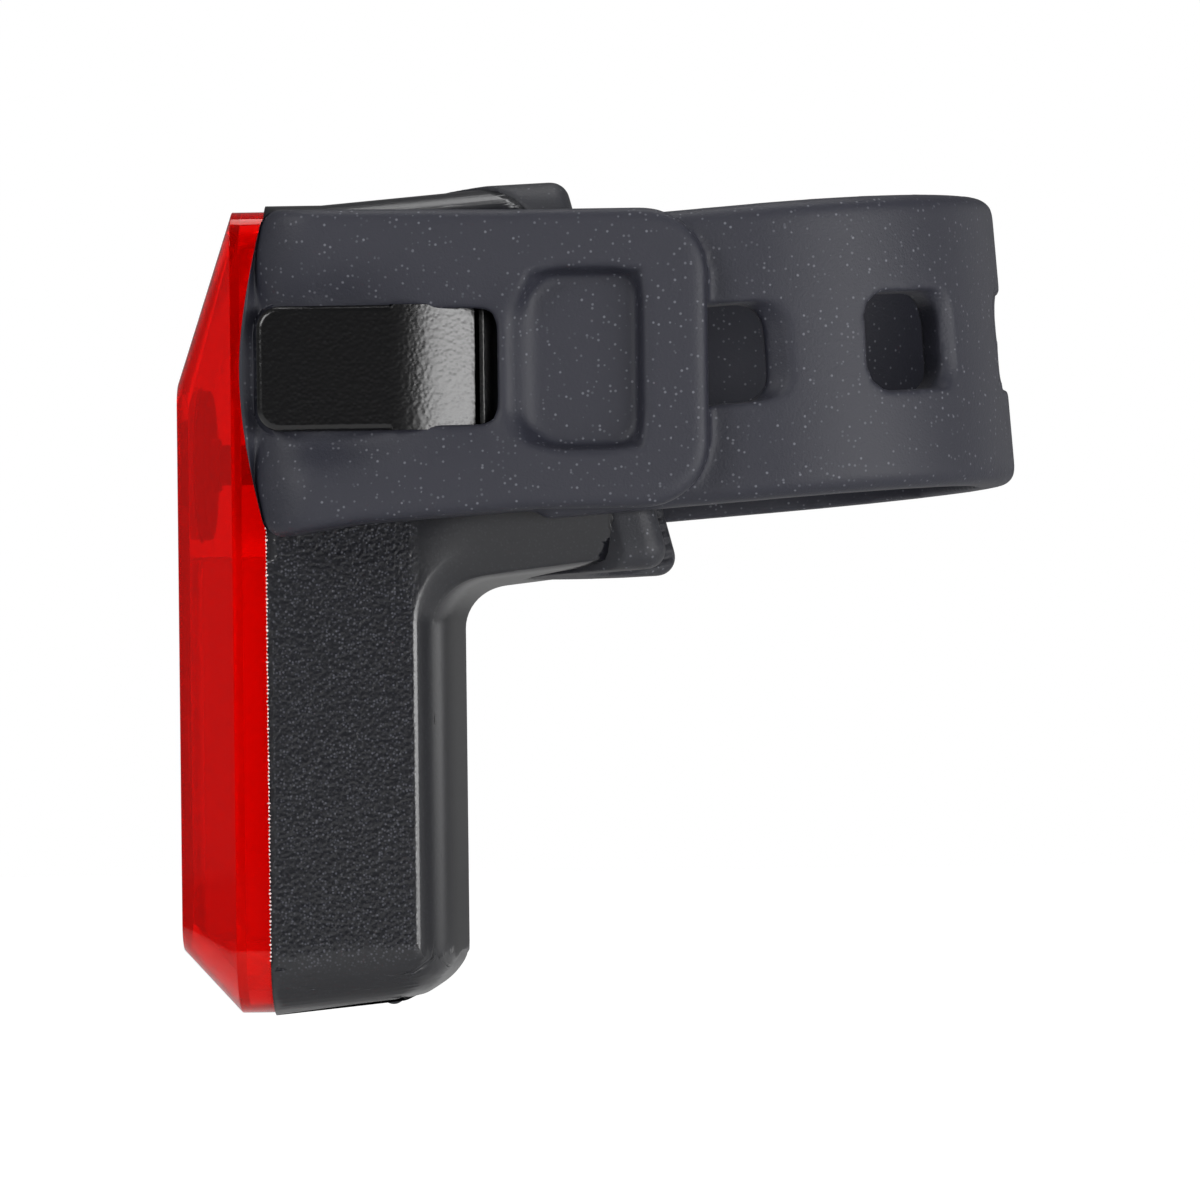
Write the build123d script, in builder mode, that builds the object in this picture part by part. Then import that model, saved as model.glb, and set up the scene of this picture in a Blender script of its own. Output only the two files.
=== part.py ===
from build123d import *
from math import atan2, cos, pi, radians, sin, sqrt, tan
import os

os.makedirs("parts", exist_ok=True)

# A rear light for a bicycle: an upright body with a red lens, and an arm whose rubber saddle
# is strapped to the seat post. Millimetres. The origin lies on the seat post's axis, level with
# the middle of the strap. +Z is up, the lens faces -X and the strap's pull tab is on the -Y side.

# Seat post
post_radius = 13.6
post_lean = 14.7

# Body, as seen from the side
body_depth = 11.2
body_top = 10.95
bottom_slope = 5.8
crown = 2.7
edge_round = 0.6
silhouette_round = 4.5
shoulder_width = 1.0
shoulder_depth = 2.3
shoulder_round = 0.9
top_corner = 3.0
bottom_corner = 5.0
edge_short = 0.02

# Arm
top_flat = 4.3
top_slope = 4.7
arm_drop = 18.1
arm_drop_reach = 16.9
arm_slope = 6.6
corner_round = 3.5
spine_inset = 2.0
arm_reach = 15.2

# Housing's inside
wall = 1.8
board_pocket_depth = 2.5
ledge = 1.2
cavity_round = 2.0
boss_radius = 2.0

# Lens
lens_wall = 1.5
lens_step_top = 0.45
lens_step_bottom = 0.2
lens_rim = 2.6
lens_depth = 7.3
foot_bevel = 4.8
lens_front_corner = 2.0

# Button
button_drop = 8.5
button_radius = 5.4
button_proud = 0.42
button_edge = 0.6
button_travel = 0.4
flange_radius = 5.9
flange_thick = 0.8
stem_radius = 2.1
stem_length = 0.75
bezel_radius = 6.1
bezel_sunk = 0.05
running_gap = 0.05
slip_gap = 0.03

# Tact switch
switch_side = 6.0
switch_height = 2.4
plunger_radius = 1.6
plunger_sunk = 0.4
plunger_floor_gap = 0.1

# Light sensor and its window
window_spacing = 22.35
window_height = 4.9
window_width = 7.0
window_thick = 1.3
sensor_side = 2.4
chip_thick = 0.9
chip_gap = 0.3

# Optics
led_rows = 4
led_columns = 2
led_middle_gap = 2.8
led_side = 2.8
led_base = 0.6
led_dome_radius = 1.2
led_dome_height = 0.6
led_dome_tip = 0.85
tray_side = 2.3
tray_side_gap = 0.9
tray_end = 2.3
tray_foot_gap = 0.65
cup_led_gap = 0.12
cup_flare = 0.4
cup_web = 0.6
tunnel_web = 0.2
tunnel_side = 3.6
tray_corner = 1.0
optic_thick = 0.75
optic_gap = 0.15
optic_lens_radius = 2.0
optic_lens_tip = 1.2
optic_lens_height = 1.1

# Circuit board and what it carries
board_thick = 1.0
board_gap = 0.2
board_corner = 1.6
screw_side_gap = 0.2
screw_wall_gap = 0.7
screw_end_inset = 3.2
screw_radius = 0.95
screw_head_radius = 1.6
screw_head_thick = 1.1
screw_length = 5.0
screw_gap = 0.02
board_hole_gap = 0.15
status_height = 4.0
status_side = 1.6
status_thick = 0.7
controller_side = 5.0
controller_y = 4.0
controller_z = -12.0
motion_side = 3.0
motion_y = -5.0
motion_z = -20.0

# Charging socket
usb_width = 8.94
usb_thick = 3.26
usb_length = 7.3
usb_shell = 0.3
usb_corner = 1.55
usb_tongue_width = 6.7
usb_tongue_thick = 0.7
usb_tongue_length = 5.0
usb_back = 1.2
usb_slot_gap = 0.18
usb_mouth_gap = 0.1

# Battery
cell_side_gap = 0.7
cell_thick = 4.9
cell_foot_gap = 0.85
cell_top = 3.2
cell_round = 1.2
foam_thick = 0.6
foam_margin = 1.5
cell_board_width = 14.0
cell_board_height = 2.0
cell_board_thick = 3.0
lead_radius = 0.45
lead_spacing = 4.0

# Port cover, a rubber flap in a recess of the bottom face
cover_inset = 0.8
cover_width = 15.0
cover_gap = 0.2
cover_recess = 1.75
cover_step = 0.1
cover_barrel_radius = 0.9
cover_barrel_gap = 0.08
hinge_reach = 8.8
hinge_depth = 0.6
plug_gap = 0.55
plug_height = 1.4
plug_taper = 6.0

# Hooks
hook_clear = 4.48
hook_past_seam = 0.1
hook_height = 9.5
hook_base_inset = 0.35
hook_drop = 2.05
hook_gap = 0.25
hook_plate = 2.0
hook_curve_length = 6.4
hook_neck_length = 6.3
hook_foot_length = 2.1
hook_foot_height = 1.9
hook_corner = 1.8
hook_edge = 0.5
tenon_length = 4.6
tenon_height = 6.0
tenon_depth = 3.6
tenon_gap = 0.05
hook_screw_radius = 0.8
hook_screw_head_radius = 1.3
hook_screw_head_thick = 1.0
hook_screw_inset = 2.1
hook_screw_sunk = 1.4
hook_screw_length = 7.2

# Saddle pad
pad_gap = 0.1
pad_thick = 4.5
pad_tip = 6.8
pad_top = 12.5
pad_bottom = -17.3
pad_slope = 2.4
pad_tip_round = 1.2
pad_corner = 1.5
ridge_pitch = 1.1
ridge_width = 0.3
ridge_depth = 0.6
pad_side_round = 1.6
peg_radius = 2.0
peg_length = 3.0
peg_spread = 8.0
peg_gap = 0.05

# Strap
strap_width = 22.5
strap_thick = 3.2
strap_level = -1.4
strap_tilt = 4.3
strap_gap = 0.25
loop_reach = 4.9
band_outer_round = 1.3
hole_count = 3
hole_side = 7.5
hole_corner = 2.0
ramp_depth = 1.2
ramp_length = 2.2
hole_pitch = 14.64
first_hole = 1.2

# Strap heads and the pull tab on the near one
head_wrap = 1.5
head_bulge = 2.0
head_lean = 0.25
head_tail = 4.4
head_top = 9.8
head_rise = 0.3
head_foot = -14.9
head_waist_run = 9.0
head_waist = -13.8
head_corner = 1.5
head_edge = 1.0
far_end_round = 2.0
tab_slit = 0.3
tab_thick = 2.3
tab_end = 0.7
tab_bottom = -12.9
tab_corner = 5.0
tab_edge = 0.8
seat_gap = 0.5
seat_taper = 12.0
hook_hole_gap = 0.35
hook_hole_corner = 0.35
thumb_length = 8.8
thumb_height = 14.0
thumb_corner = 2.8
thumb_depth = 1.1
thumb_inset = 4.8
thumb_drop = 1.6
thumb_taper = 20.0
thumb_floor_round = 0.7
thumb_lip_round = 0.5

# Every cut runs this far past the face that it opens, and an edge this near a face belongs to it
overrun = 1.0
pick_margin = 0.05

# The cups round the LEDs, and the screws beside them, set the width
cup_back_radius = led_side / sqrt(2) + cup_led_gap
cup_front_radius = cup_back_radius + cup_flare
led_row_pitch = 2 * cup_front_radius + cup_web
led_column_pitch = 2 * cup_front_radius + tunnel_side + 2 * tunnel_web
tray_half_width = led_column_pitch / 2 + cup_front_radius + tray_side
lens_front_half_width = tray_half_width + tray_side_gap
screw_y = tray_half_width + screw_side_gap + screw_head_radius
pocket_half_width = screw_y + screw_head_radius + screw_wall_gap
half_width = pocket_half_width + wall

# The post's size and lean set the saddle, and the arm's reach sets the seam
lean = radians(post_lean)
saddle_radius = post_radius + pad_thick + pad_gap
seam_x = -(saddle_radius + arm_reach)
edge_x = seam_x + body_depth
apex_x = edge_x + crown
lens_edge_x = seam_x - lens_rim
lens_front_x = seam_x - lens_depth
lens_inner_x = lens_front_x + lens_wall

# The button, the window and the LEDs' rows set the length of the front face, and that of the body
tray_half_height = led_middle_gap / 2 + led_rows / 2 * led_row_pitch + tray_end
window_z = -button_drop - window_spacing
lens_front_top = bezel_radius - button_drop
lens_front_bottom = window_z - tray_half_height - tray_foot_gap
lens_top = body_top - lens_step_top
lens_bottom = lens_front_bottom - foot_bevel
body_drop = lens_step_bottom - lens_bottom

# The board and the battery set the depth of the cavity
board_back_x = seam_x + board_pocket_depth
board_front_x = board_back_x - board_thick
cell_front_x = board_back_x + chip_thick + chip_gap
cell_back_x = cell_front_x + cell_thick
cavity_floor_x = cell_back_x + foam_thick
recess_floor_z = cover_recess - body_drop
cavity_bottom = recess_floor_z + wall
cavity_top = body_top - wall
cavity_half_width = pocket_half_width - ledge

# The strap lies on the housing's sides, and the hooks stand over it
side_face = half_width
strap_inner = half_width + strap_gap
strap_outer = strap_inner + strap_thick
hook_face = strap_outer + hook_gap + hook_plate
hook_base_height = hook_height - 2 * hook_base_inset
hook_screw_y = half_width - hook_screw_inset
tip_x = seam_x - hook_past_seam


def bottom_z(x):
    """Height of the sloping bottom face at a place along X."""
    return -body_drop + (x - seam_x) * tan(radians(bottom_slope))


def arm_underside(x):
    """Height of the crown line under the arm."""
    return -arm_drop + (x + arm_drop_reach) * tan(radians(arm_slope))


def on_post(across, z):
    """Place in the side view at a distance behind the post's axis and a height."""
    return (across / cos(lean) - z * tan(lean), z)


def bevel_shift(run_along, run_deep):
    """How far a wall's inner corner moves when the wall turns from the front to a bevel."""
    return lens_wall * tan(atan2(run_deep, run_along) / 2)


def body_outline(half_across, top, bottom, upper_corner, lower_corner):
    """Outline of the body seen from behind; its upper and lower corners have their own radii."""
    with BuildSketch(Plane.XY) as outline:
        with Locations((0, (top + bottom) / 2)):
            Rectangle(2 * half_across, top - bottom)
        fillet(outline.vertices().group_by(Axis.Y)[0], lower_corner)
        fillet(outline.vertices().group_by(Axis.Y)[-1], upper_corner)
    return outline.sketch


post_plane = Plane(origin=(0, 0, 0), x_dir=(cos(lean), 0, sin(lean)), z_dir=(-sin(lean), 0, cos(lean)))

# Lens: a straight rim, then four bevels up to the front face, hollowed to an even wall
bevel_depth = lens_depth - lens_rim
side_shift = bevel_shift(half_width - lens_front_half_width, bevel_depth)
top_shift = bevel_shift(lens_top - lens_front_top, bevel_depth)
foot_shift = bevel_shift(lens_front_bottom - lens_bottom, bevel_depth)
rim_shift = bevel_shift(bevel_depth, half_width - lens_front_half_width)
inner_edge_x = lens_edge_x + rim_shift
rim_outline = body_outline(half_width, lens_top, lens_bottom, top_corner, bottom_corner)
front_outline = body_outline(
    lens_front_half_width, lens_front_top, lens_front_bottom, lens_front_corner, lens_front_corner
)
inner_rim_outline = body_outline(
    half_width - lens_wall,
    lens_top - lens_wall,
    lens_bottom + lens_wall,
    top_corner - lens_wall,
    bottom_corner - lens_wall,
)
inner_front_outline = body_outline(
    lens_front_half_width - side_shift,
    lens_front_top - top_shift,
    lens_front_bottom + foot_shift,
    lens_front_corner,
    lens_front_corner,
)

with BuildPart() as lens:
    with BuildSketch(Plane.YZ.offset(seam_x)):
        add(rim_outline)
    extrude(amount=-lens_rim)
    with BuildSketch(Plane.YZ.offset(lens_edge_x)):
        add(rim_outline)
    with BuildSketch(Plane.YZ.offset(lens_front_x)):
        add(front_outline)
    loft()
    with BuildSketch(Plane.YZ.offset(inner_edge_x)):
        add(inner_rim_outline)
    extrude(amount=lens_rim, mode=Mode.SUBTRACT)
    with BuildSketch(Plane.YZ.offset(inner_edge_x)):
        add(inner_rim_outline)
    with BuildSketch(Plane.YZ.offset(lens_inner_x)):
        add(inner_front_outline)
    loft(mode=Mode.SUBTRACT)
    with BuildSketch(Plane.YZ.offset(lens_front_x - overrun)):
        with Locations((0, -button_drop)):
            Circle(bezel_radius + slip_gap)
        with Locations((0, window_z)):
            Rectangle(window_width + 2 * slip_gap, window_height + 2 * slip_gap)
    extrude(amount=overrun + lens_wall + overrun, mode=Mode.SUBTRACT)
lens.part.label = "lens"

# Bezel ring in the lens and the cap that slides in it
with BuildPart() as button_bezel:
    with BuildSketch(Plane.YZ.offset(lens_front_x + bezel_sunk)):
        with Locations((0, -button_drop)):
            Circle(bezel_radius)
            Circle(button_radius + running_gap, mode=Mode.SUBTRACT)
    extrude(amount=lens_wall - bezel_sunk)
button_bezel.part.label = "button_bezel"

cap_face_x = lens_front_x - button_proud
flange_x = lens_inner_x + running_gap
stem_x = flange_x + flange_thick
plunger_tip_x = stem_x + stem_length
with BuildPart() as button_cap:
    with BuildSketch(Plane.YZ.offset(flange_x)):
        with Locations((0, -button_drop)):
            Circle(button_radius)
    extrude(amount=cap_face_x - flange_x)
    fillet(button_cap.faces().sort_by(Axis.X)[0].edges(), button_edge)
    with BuildSketch(Plane.YZ.offset(flange_x)):
        with Locations((0, -button_drop)):
            Circle(flange_radius)
    extrude(amount=flange_thick)
    with BuildSketch(Plane.YZ.offset(stem_x)):
        with Locations((0, -button_drop)):
            Circle(stem_radius)
    extrude(amount=plunger_tip_x - stem_x)
button_cap.part.label = "button_cap"

# Tact switch: a body with a well, and the tall plunger in it
switch_face_x = board_front_x - switch_height
plunger_end_x = switch_face_x + plunger_sunk
well_floor_x = plunger_end_x + button_travel + plunger_floor_gap
with BuildPart() as switch_body:
    with BuildSketch(Plane.YZ.offset(board_front_x)):
        with Locations((0, -button_drop)):
            Rectangle(switch_side, switch_side)
    extrude(amount=-switch_height)
    with BuildSketch(Plane.YZ.offset(well_floor_x)):
        with Locations((0, -button_drop)):
            Circle(plunger_radius + running_gap)
    extrude(amount=-switch_height, mode=Mode.SUBTRACT)
switch_body.part.label = "switch_body"

with BuildPart() as switch_plunger:
    with BuildSketch(Plane.YZ.offset(plunger_tip_x)):
        with Locations((0, -button_drop)):
            Circle(plunger_radius)
    extrude(amount=plunger_end_x - plunger_tip_x)
switch_plunger.part.label = "switch_plunger"

with BuildPart() as sensor_window:
    with BuildSketch(Plane.YZ.offset(lens_front_x + bezel_sunk)):
        with Locations((0, window_z)):
            Rectangle(window_width, window_height)
    extrude(amount=window_thick)
sensor_window.part.label = "sensor_window"

# Optics: a tray with a cup for each LED and a tunnel for the sensor, and a plate of small lenses
tray_front_x = lens_inner_x + optic_gap + optic_thick
tray_depth = board_front_x - tray_front_x
led_steps = [row + 1 / 2 for row in range(led_rows // 2)]
led_rises = [step * led_row_pitch + led_middle_gap / 2 for step in led_steps]
led_z = [window_z + side * rise for side in (-1, 1) for rise in led_rises]
led_y = [(column - (led_columns - 1) / 2) * led_column_pitch for column in range(led_columns)]
led_places = [(y, z) for y in led_y for z in led_z]
from_base = (Align.CENTER, Align.CENTER, Align.MIN)

with BuildPart() as reflector_tray:
    with BuildSketch(Plane.YZ.offset(tray_front_x)):
        with Locations((0, window_z)):
            RectangleRounded(2 * tray_half_width, 2 * tray_half_height, tray_corner)
    extrude(amount=tray_depth)
    with Locations(Plane.YZ.offset(tray_front_x)):
        with Locations(*led_places):
            Cone(cup_front_radius, cup_back_radius, tray_depth, align=from_base, mode=Mode.SUBTRACT)
    with BuildSketch(Plane.YZ.offset(tray_front_x)):
        with Locations((0, window_z)):
            Rectangle(tunnel_side, tunnel_side)
    extrude(amount=tray_depth, mode=Mode.SUBTRACT)
reflector_tray.part.label = "reflector_tray"

with BuildPart() as optic_plate:
    with BuildSketch(Plane.YZ.offset(tray_front_x)):
        with Locations((0, window_z)):
            RectangleRounded(2 * tray_half_width, 2 * tray_half_height, tray_corner)
    extrude(amount=-optic_thick)
    with Locations(Plane.YZ.offset(tray_front_x)):
        with Locations(*led_places):
            Cone(optic_lens_radius, optic_lens_tip, optic_lens_height, align=from_base)
optic_plate.part.label = "optic_plate"

with BuildPart() as leds:
    with BuildSketch(Plane.YZ.offset(board_front_x)):
        with Locations(led_places):
            Rectangle(led_side, led_side)
    extrude(amount=-led_base)
    dome_plane = Plane(origin=(board_front_x - led_base, 0, 0), x_dir=(0, -1, 0), z_dir=(-1, 0, 0))
    with Locations(dome_plane):
        with Locations(*[(-y, z) for y, z in led_places]):
            Cone(led_dome_radius, led_dome_tip, led_dome_height, align=from_base)
leds.part.label = "leds"

# Circuit board with its screws and small parts
board_width = 2 * (pocket_half_width - board_gap)
board_top = cavity_top - board_gap
board_bottom = cavity_bottom + board_gap
screw_heights = (cavity_bottom + screw_end_inset, cavity_top - screw_end_inset)
screw_places = [(y, z) for y in (-screw_y, screw_y) for z in screw_heights]
with BuildPart() as led_board:
    with BuildSketch(Plane.YZ.offset(board_front_x)):
        with Locations((0, (board_top + board_bottom) / 2)):
            RectangleRounded(board_width, board_top - board_bottom, board_corner)
        with Locations(screw_places):
            Circle(screw_radius + board_hole_gap, mode=Mode.SUBTRACT)
    extrude(amount=board_thick)
led_board.part.label = "led_board"

with BuildPart() as board_screws:
    with BuildSketch(Plane.YZ.offset(board_front_x)):
        with Locations(screw_places):
            Circle(screw_head_radius)
    extrude(amount=-screw_head_thick)
    with BuildSketch(Plane.YZ.offset(board_front_x)):
        with Locations(screw_places):
            Circle(screw_radius)
    extrude(amount=screw_length)
board_screws.part.label = "board_screws"


def board_chip(y, z, side, thick, face_x):
    """A square chip that sits on a face of the board; a negative thickness is towards the lens."""
    with BuildPart() as chip:
        with BuildSketch(Plane.YZ.offset(face_x)):
            with Locations((y, z)):
                Rectangle(side, side)
        extrude(amount=thick)
    return chip.part


light_sensor = board_chip(0, window_z, sensor_side, -chip_thick, board_front_x)
light_sensor.label = "light_sensor"
status_led = board_chip(0, status_height, status_side, -status_thick, board_front_x)
status_led.label = "status_led"
controller_chip = board_chip(controller_y, controller_z, controller_side, chip_thick, board_back_x)
controller_chip.label = "controller_chip"
motion_sensor = board_chip(motion_y, motion_z, motion_side, chip_thick, board_back_x)
motion_sensor.label = "motion_sensor"

# Charging socket on the back of the board, its mouth down in the slot of the bottom wall
usb_x = board_back_x + usb_thick / 2
usb_mouth_z = recess_floor_z + wall + usb_mouth_gap
with BuildPart() as usb_socket:
    with BuildSketch(Plane.XY.offset(usb_mouth_z)):
        with Locations((usb_x, 0)):
            RectangleRounded(usb_thick, usb_width, usb_corner)
    extrude(amount=usb_length)
    with BuildSketch(Plane.XY.offset(usb_mouth_z)):
        with Locations((usb_x, 0)):
            RectangleRounded(usb_thick - 2 * usb_shell, usb_width - 2 * usb_shell, usb_corner - usb_shell)
    extrude(amount=usb_length - usb_back, mode=Mode.SUBTRACT)
usb_socket.part.label = "usb_socket"

with BuildPart() as usb_tongue:
    with BuildSketch(Plane.XY.offset(usb_mouth_z + usb_length - usb_back)):
        with Locations((usb_x, 0)):
            Rectangle(usb_tongue_thick, usb_tongue_width)
    extrude(amount=-usb_tongue_length)
usb_tongue.part.label = "usb_tongue"

# Battery on its foam, with the protection board and two leads
cell_bottom = usb_mouth_z + usb_length + cell_foot_gap
cell_width = 2 * (cavity_half_width - cell_side_gap)
cell_mid_z = (cell_top + cell_bottom) / 2
with BuildPart() as battery:
    with BuildSketch(Plane.YZ.offset(cell_front_x)):
        with Locations((0, cell_mid_z)):
            RectangleRounded(cell_width, cell_top - cell_bottom, cell_round)
    extrude(amount=cell_thick)
    fillet(battery.edges().filter_by(Axis.Z), cell_round)
battery.part.label = "battery"

with BuildPart() as battery_foam:
    with BuildSketch(Plane.YZ.offset(cell_back_x)):
        with Locations((0, cell_mid_z)):
            Rectangle(cell_width - 2 * foam_margin, cell_top - cell_bottom - 2 * foam_margin)
    extrude(amount=foam_thick)
battery_foam.part.label = "battery_foam"

cell_board_x = (cell_front_x + cell_back_x) / 2
with BuildPart() as cell_board:
    with BuildSketch(Plane.XY.offset(cell_top)):
        with Locations((cell_board_x, 0)):
            Rectangle(cell_board_thick, cell_board_width)
    extrude(amount=cell_board_height)
cell_board.part.label = "cell_board"

lead_z = cell_top + cell_board_height / 2
with BuildPart() as battery_leads:
    with BuildSketch(Plane.YZ.offset(board_back_x)):
        with Locations((-lead_spacing / 2, lead_z), (lead_spacing / 2, lead_z)):
            Circle(lead_radius)
    extrude(amount=cell_board_x - cell_board_thick / 2 - board_back_x)
battery_leads.part.label = "battery_leads"

# Housing. The side view's outline is extruded. A section with steep shoulders and a slight crown
# between them is swept down the back, round the inner corner and along the underside of the arm.
spine_depth = spine_inset + crown
spine_x = apex_x - spine_depth
spine_corner_round = corner_round + spine_depth
crease_y = half_width - shoulder_width
crease_depth = spine_inset + shoulder_depth
arm_far_x = on_post(-saddle_radius / 2, -arm_drop)[0]
arm_far_z = body_top + (arm_far_x - seam_x - top_flat) * tan(radians(top_slope))
hinge_x = seam_x + hinge_reach
hinge_z = bottom_z(hinge_x) + hinge_depth
slot_thick = usb_thick + 2 * usb_slot_gap
slot_width = usb_width + 2 * usb_slot_gap
saddle_at_screw = on_post(-sqrt(saddle_radius**2 - hook_screw_y**2), -hook_drop)[0]
shell_x = saddle_at_screw - hook_clear
tenon_x = shell_x - hook_neck_length / 2


def spine_z(x):
    """Height of the swept section's spine along the arm."""
    return arm_underside(x) + spine_depth / cos(radians(arm_slope))


with BuildPart() as rear_housing:
    with BuildSketch(Plane.XZ) as side_view:
        with BuildLine():
            Polyline(
                (seam_x, body_top),
                (seam_x + top_flat, body_top),
                (arm_far_x, arm_far_z),
                (arm_far_x, spine_z(arm_far_x)),
                (spine_x, spine_z(spine_x)),
                (spine_x, bottom_z(spine_x)),
                (seam_x, bottom_z(seam_x)),
                close=True,
            )
        make_face()
        corner = side_view.vertices().sort_by_distance((spine_x, spine_z(spine_x), 0))[0]
        fillet(corner, spine_corner_round)
    extrude(amount=half_width, both=True)
    along_top = rear_housing.edges().filter_by(lambda e: e.center().Z > body_top - pick_margin)
    fillet(along_top.filter_by(lambda e: abs(e.center().Y) > half_width - pick_margin), top_corner)

    foot_z = bottom_z(spine_x) - overrun
    far_x = arm_far_x + overrun
    with BuildLine() as spine:
        FilletPolyline(
            (spine_x, 0, foot_z),
            (spine_x, 0, spine_z(spine_x)),
            (far_x, 0, spine_z(far_x)),
            radius=spine_corner_round,
        )
    spine_foot = Plane(origin=(spine_x, 0, foot_z), x_dir=(0, 1, 0), z_dir=(0, 0, 1))
    with BuildSketch(spine_foot) as section:
        with BuildLine():
            Polyline(
                (-crease_y, -crease_depth),
                (-half_width, -spine_inset),
                (-half_width, spine_inset / 2),
                (half_width, spine_inset / 2),
                (half_width, -spine_inset),
                (crease_y, -crease_depth),
            )
            ThreePointArc((crease_y, -crease_depth), (0, -spine_depth), (-crease_y, -crease_depth))
        make_face()
        for side in (-1, 1):
            fillet(section.vertices().sort_by_distance((side * half_width, -spine_inset, 0))[0], edge_round)
            crease = section.vertices().sort_by_distance((side * crease_y, -crease_depth, 0))[0]
            fillet(crease, shoulder_round)
    sweep(path=spine.line)

    # The bottom face and the round corner behind it
    slope = radians(bottom_slope)
    corner_x = apex_x - silhouette_round
    corner_z = bottom_z(corner_x) + silhouette_round / cos(slope)
    reach = silhouette_round + overrun
    with BuildSketch(Plane.XZ):
        with BuildLine():
            Polyline(
                (seam_x - overrun, bottom_z(seam_x - overrun)),
                (apex_x + overrun, bottom_z(apex_x + overrun)),
                (apex_x + overrun, foot_z - reach),
                (seam_x - overrun, foot_z - reach),
                close=True,
            )
        make_face()
    extrude(amount=half_width + overrun, both=True, mode=Mode.SUBTRACT)
    with BuildSketch(Plane.XZ):
        with BuildLine():
            Polyline(
                (corner_x, corner_z),
                (corner_x + reach, corner_z),
                (corner_x + reach, corner_z - reach),
                (corner_x + reach * sin(slope), corner_z - reach * cos(slope)),
                close=True,
            )
        make_face()
        with Locations((corner_x, corner_z)):
            Circle(silhouette_round, mode=Mode.SUBTRACT)
    extrude(amount=half_width + overrun, both=True, mode=Mode.SUBTRACT)

    # The long bottom edges are rounded along the slope. The round meets both faces a little short
    # of tangent, which keeps the cut clean.
    edge_start = seam_x - overrun
    edge_centre = half_width - bottom_corner + edge_short
    for side in (-1, 1):
        edge_plane = Plane(
            origin=(edge_start, side * edge_centre, bottom_z(edge_start) + bottom_corner - edge_short),
            x_dir=(0, side, 0),
            z_dir=(cos(slope), 0, sin(slope)),
        )
        with BuildSketch(edge_plane):
            with Locations(((bottom_corner + overrun) / 2, -side * (bottom_corner + overrun) / 2)):
                Rectangle(bottom_corner + overrun, bottom_corner + overrun)
            Circle(bottom_corner, mode=Mode.SUBTRACT)
        extrude(amount=body_depth + crown + 2 * overrun, mode=Mode.SUBTRACT)

    # The arm's end is hollowed round the seat post's axis
    with BuildSketch(post_plane.offset(-2 * arm_drop)):
        Circle(saddle_radius)
    extrude(amount=4 * arm_drop, mode=Mode.SUBTRACT)

    # Pocket for the board, then the cavity behind it, with four screw bosses
    with BuildSketch(Plane.YZ.offset(seam_x)):
        with Locations((0, (cavity_top + cavity_bottom) / 2)):
            RectangleRounded(2 * pocket_half_width, cavity_top - cavity_bottom, cavity_round)
    extrude(amount=board_pocket_depth, mode=Mode.SUBTRACT)
    with BuildSketch(Plane.YZ.offset(board_back_x)):
        with Locations((0, (cavity_top + cavity_bottom) / 2)):
            RectangleRounded(
                2 * cavity_half_width, cavity_top - cavity_bottom - 2 * ledge, cavity_round
            )
    extrude(amount=cavity_floor_x - board_back_x, mode=Mode.SUBTRACT)
    with BuildSketch(Plane.YZ.offset(board_back_x)):
        with Locations(screw_places):
            Circle(boss_radius)
    extrude(amount=cavity_floor_x - board_back_x)
    with BuildSketch(Plane.YZ.offset(board_back_x)):
        with Locations(screw_places):
            Circle(screw_radius + screw_gap)
    extrude(amount=screw_length, mode=Mode.SUBTRACT)

    # Bottom face: recess for the port cover, groove for its barrel, slot of the charging socket
    cover_tip_x = seam_x + cover_inset
    recess_x = cover_tip_x - cover_gap
    recess_low = bottom_z(recess_x) - overrun
    recess_width = cover_width + 2 * cover_gap
    with BuildSketch(Plane.XY.offset(recess_floor_z)):
        with Locations(((recess_x + hinge_x) / 2, 0)):
            Rectangle(hinge_x - recess_x, recess_width)
    extrude(amount=recess_low - recess_floor_z, mode=Mode.SUBTRACT)
    with BuildSketch(Plane.XZ):
        with Locations((hinge_x, hinge_z)):
            Circle(cover_barrel_radius + cover_barrel_gap)
    extrude(amount=recess_width / 2, both=True, mode=Mode.SUBTRACT)
    with BuildSketch(Plane.XY.offset(recess_floor_z - overrun)):
        with Locations((usb_x, 0)):
            RectangleRounded(slot_thick, slot_width, usb_corner)
    extrude(amount=wall + ledge + 2 * overrun, mode=Mode.SUBTRACT)

    # Arm: pockets for the hooks' tenons, holes for their screws and for the pad's pegs
    with BuildSketch(Plane.XZ.offset(half_width + overrun)):
        with Locations((tenon_x, -hook_drop)):
            Rectangle(tenon_length + 2 * tenon_gap, tenon_height + 2 * tenon_gap)
    extrude(amount=-(tenon_depth + tenon_gap + overrun), mode=Mode.SUBTRACT)
    pocket_floor = half_width - tenon_depth - tenon_gap
    with BuildSketch(Plane.XZ.offset(-pocket_floor)):
        with Locations((tenon_x, -hook_drop)):
            Rectangle(tenon_length + 2 * tenon_gap, tenon_height + 2 * tenon_gap)
    extrude(amount=-(tenon_depth + tenon_gap + overrun), mode=Mode.SUBTRACT)
    screw_pair = [(-hook_screw_y, -hook_drop), (hook_screw_y, -hook_drop)]
    hook_head_x = saddle_at_screw - hook_screw_sunk
    with BuildSketch(Plane.YZ.offset(hook_head_x - hook_screw_length)):
        with Locations(screw_pair):
            Circle(hook_screw_radius + screw_gap)
    extrude(amount=hook_screw_length - hook_head_x, mode=Mode.SUBTRACT)
    with BuildSketch(Plane.YZ.offset(hook_head_x - hook_screw_head_thick)):
        with Locations(screw_pair):
            Circle(hook_screw_head_radius + screw_gap)
    extrude(amount=-hook_head_x, mode=Mode.SUBTRACT)
    peg_places = [(0, -peg_spread), (0, peg_spread)]
    pad_back_plane = Plane(
        origin=post_plane.from_local_coords((-saddle_radius - peg_length, 0, 0)),
        x_dir=(0, 1, 0),
        z_dir=post_plane.x_dir,
    )
    with BuildSketch(pad_back_plane):
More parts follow.
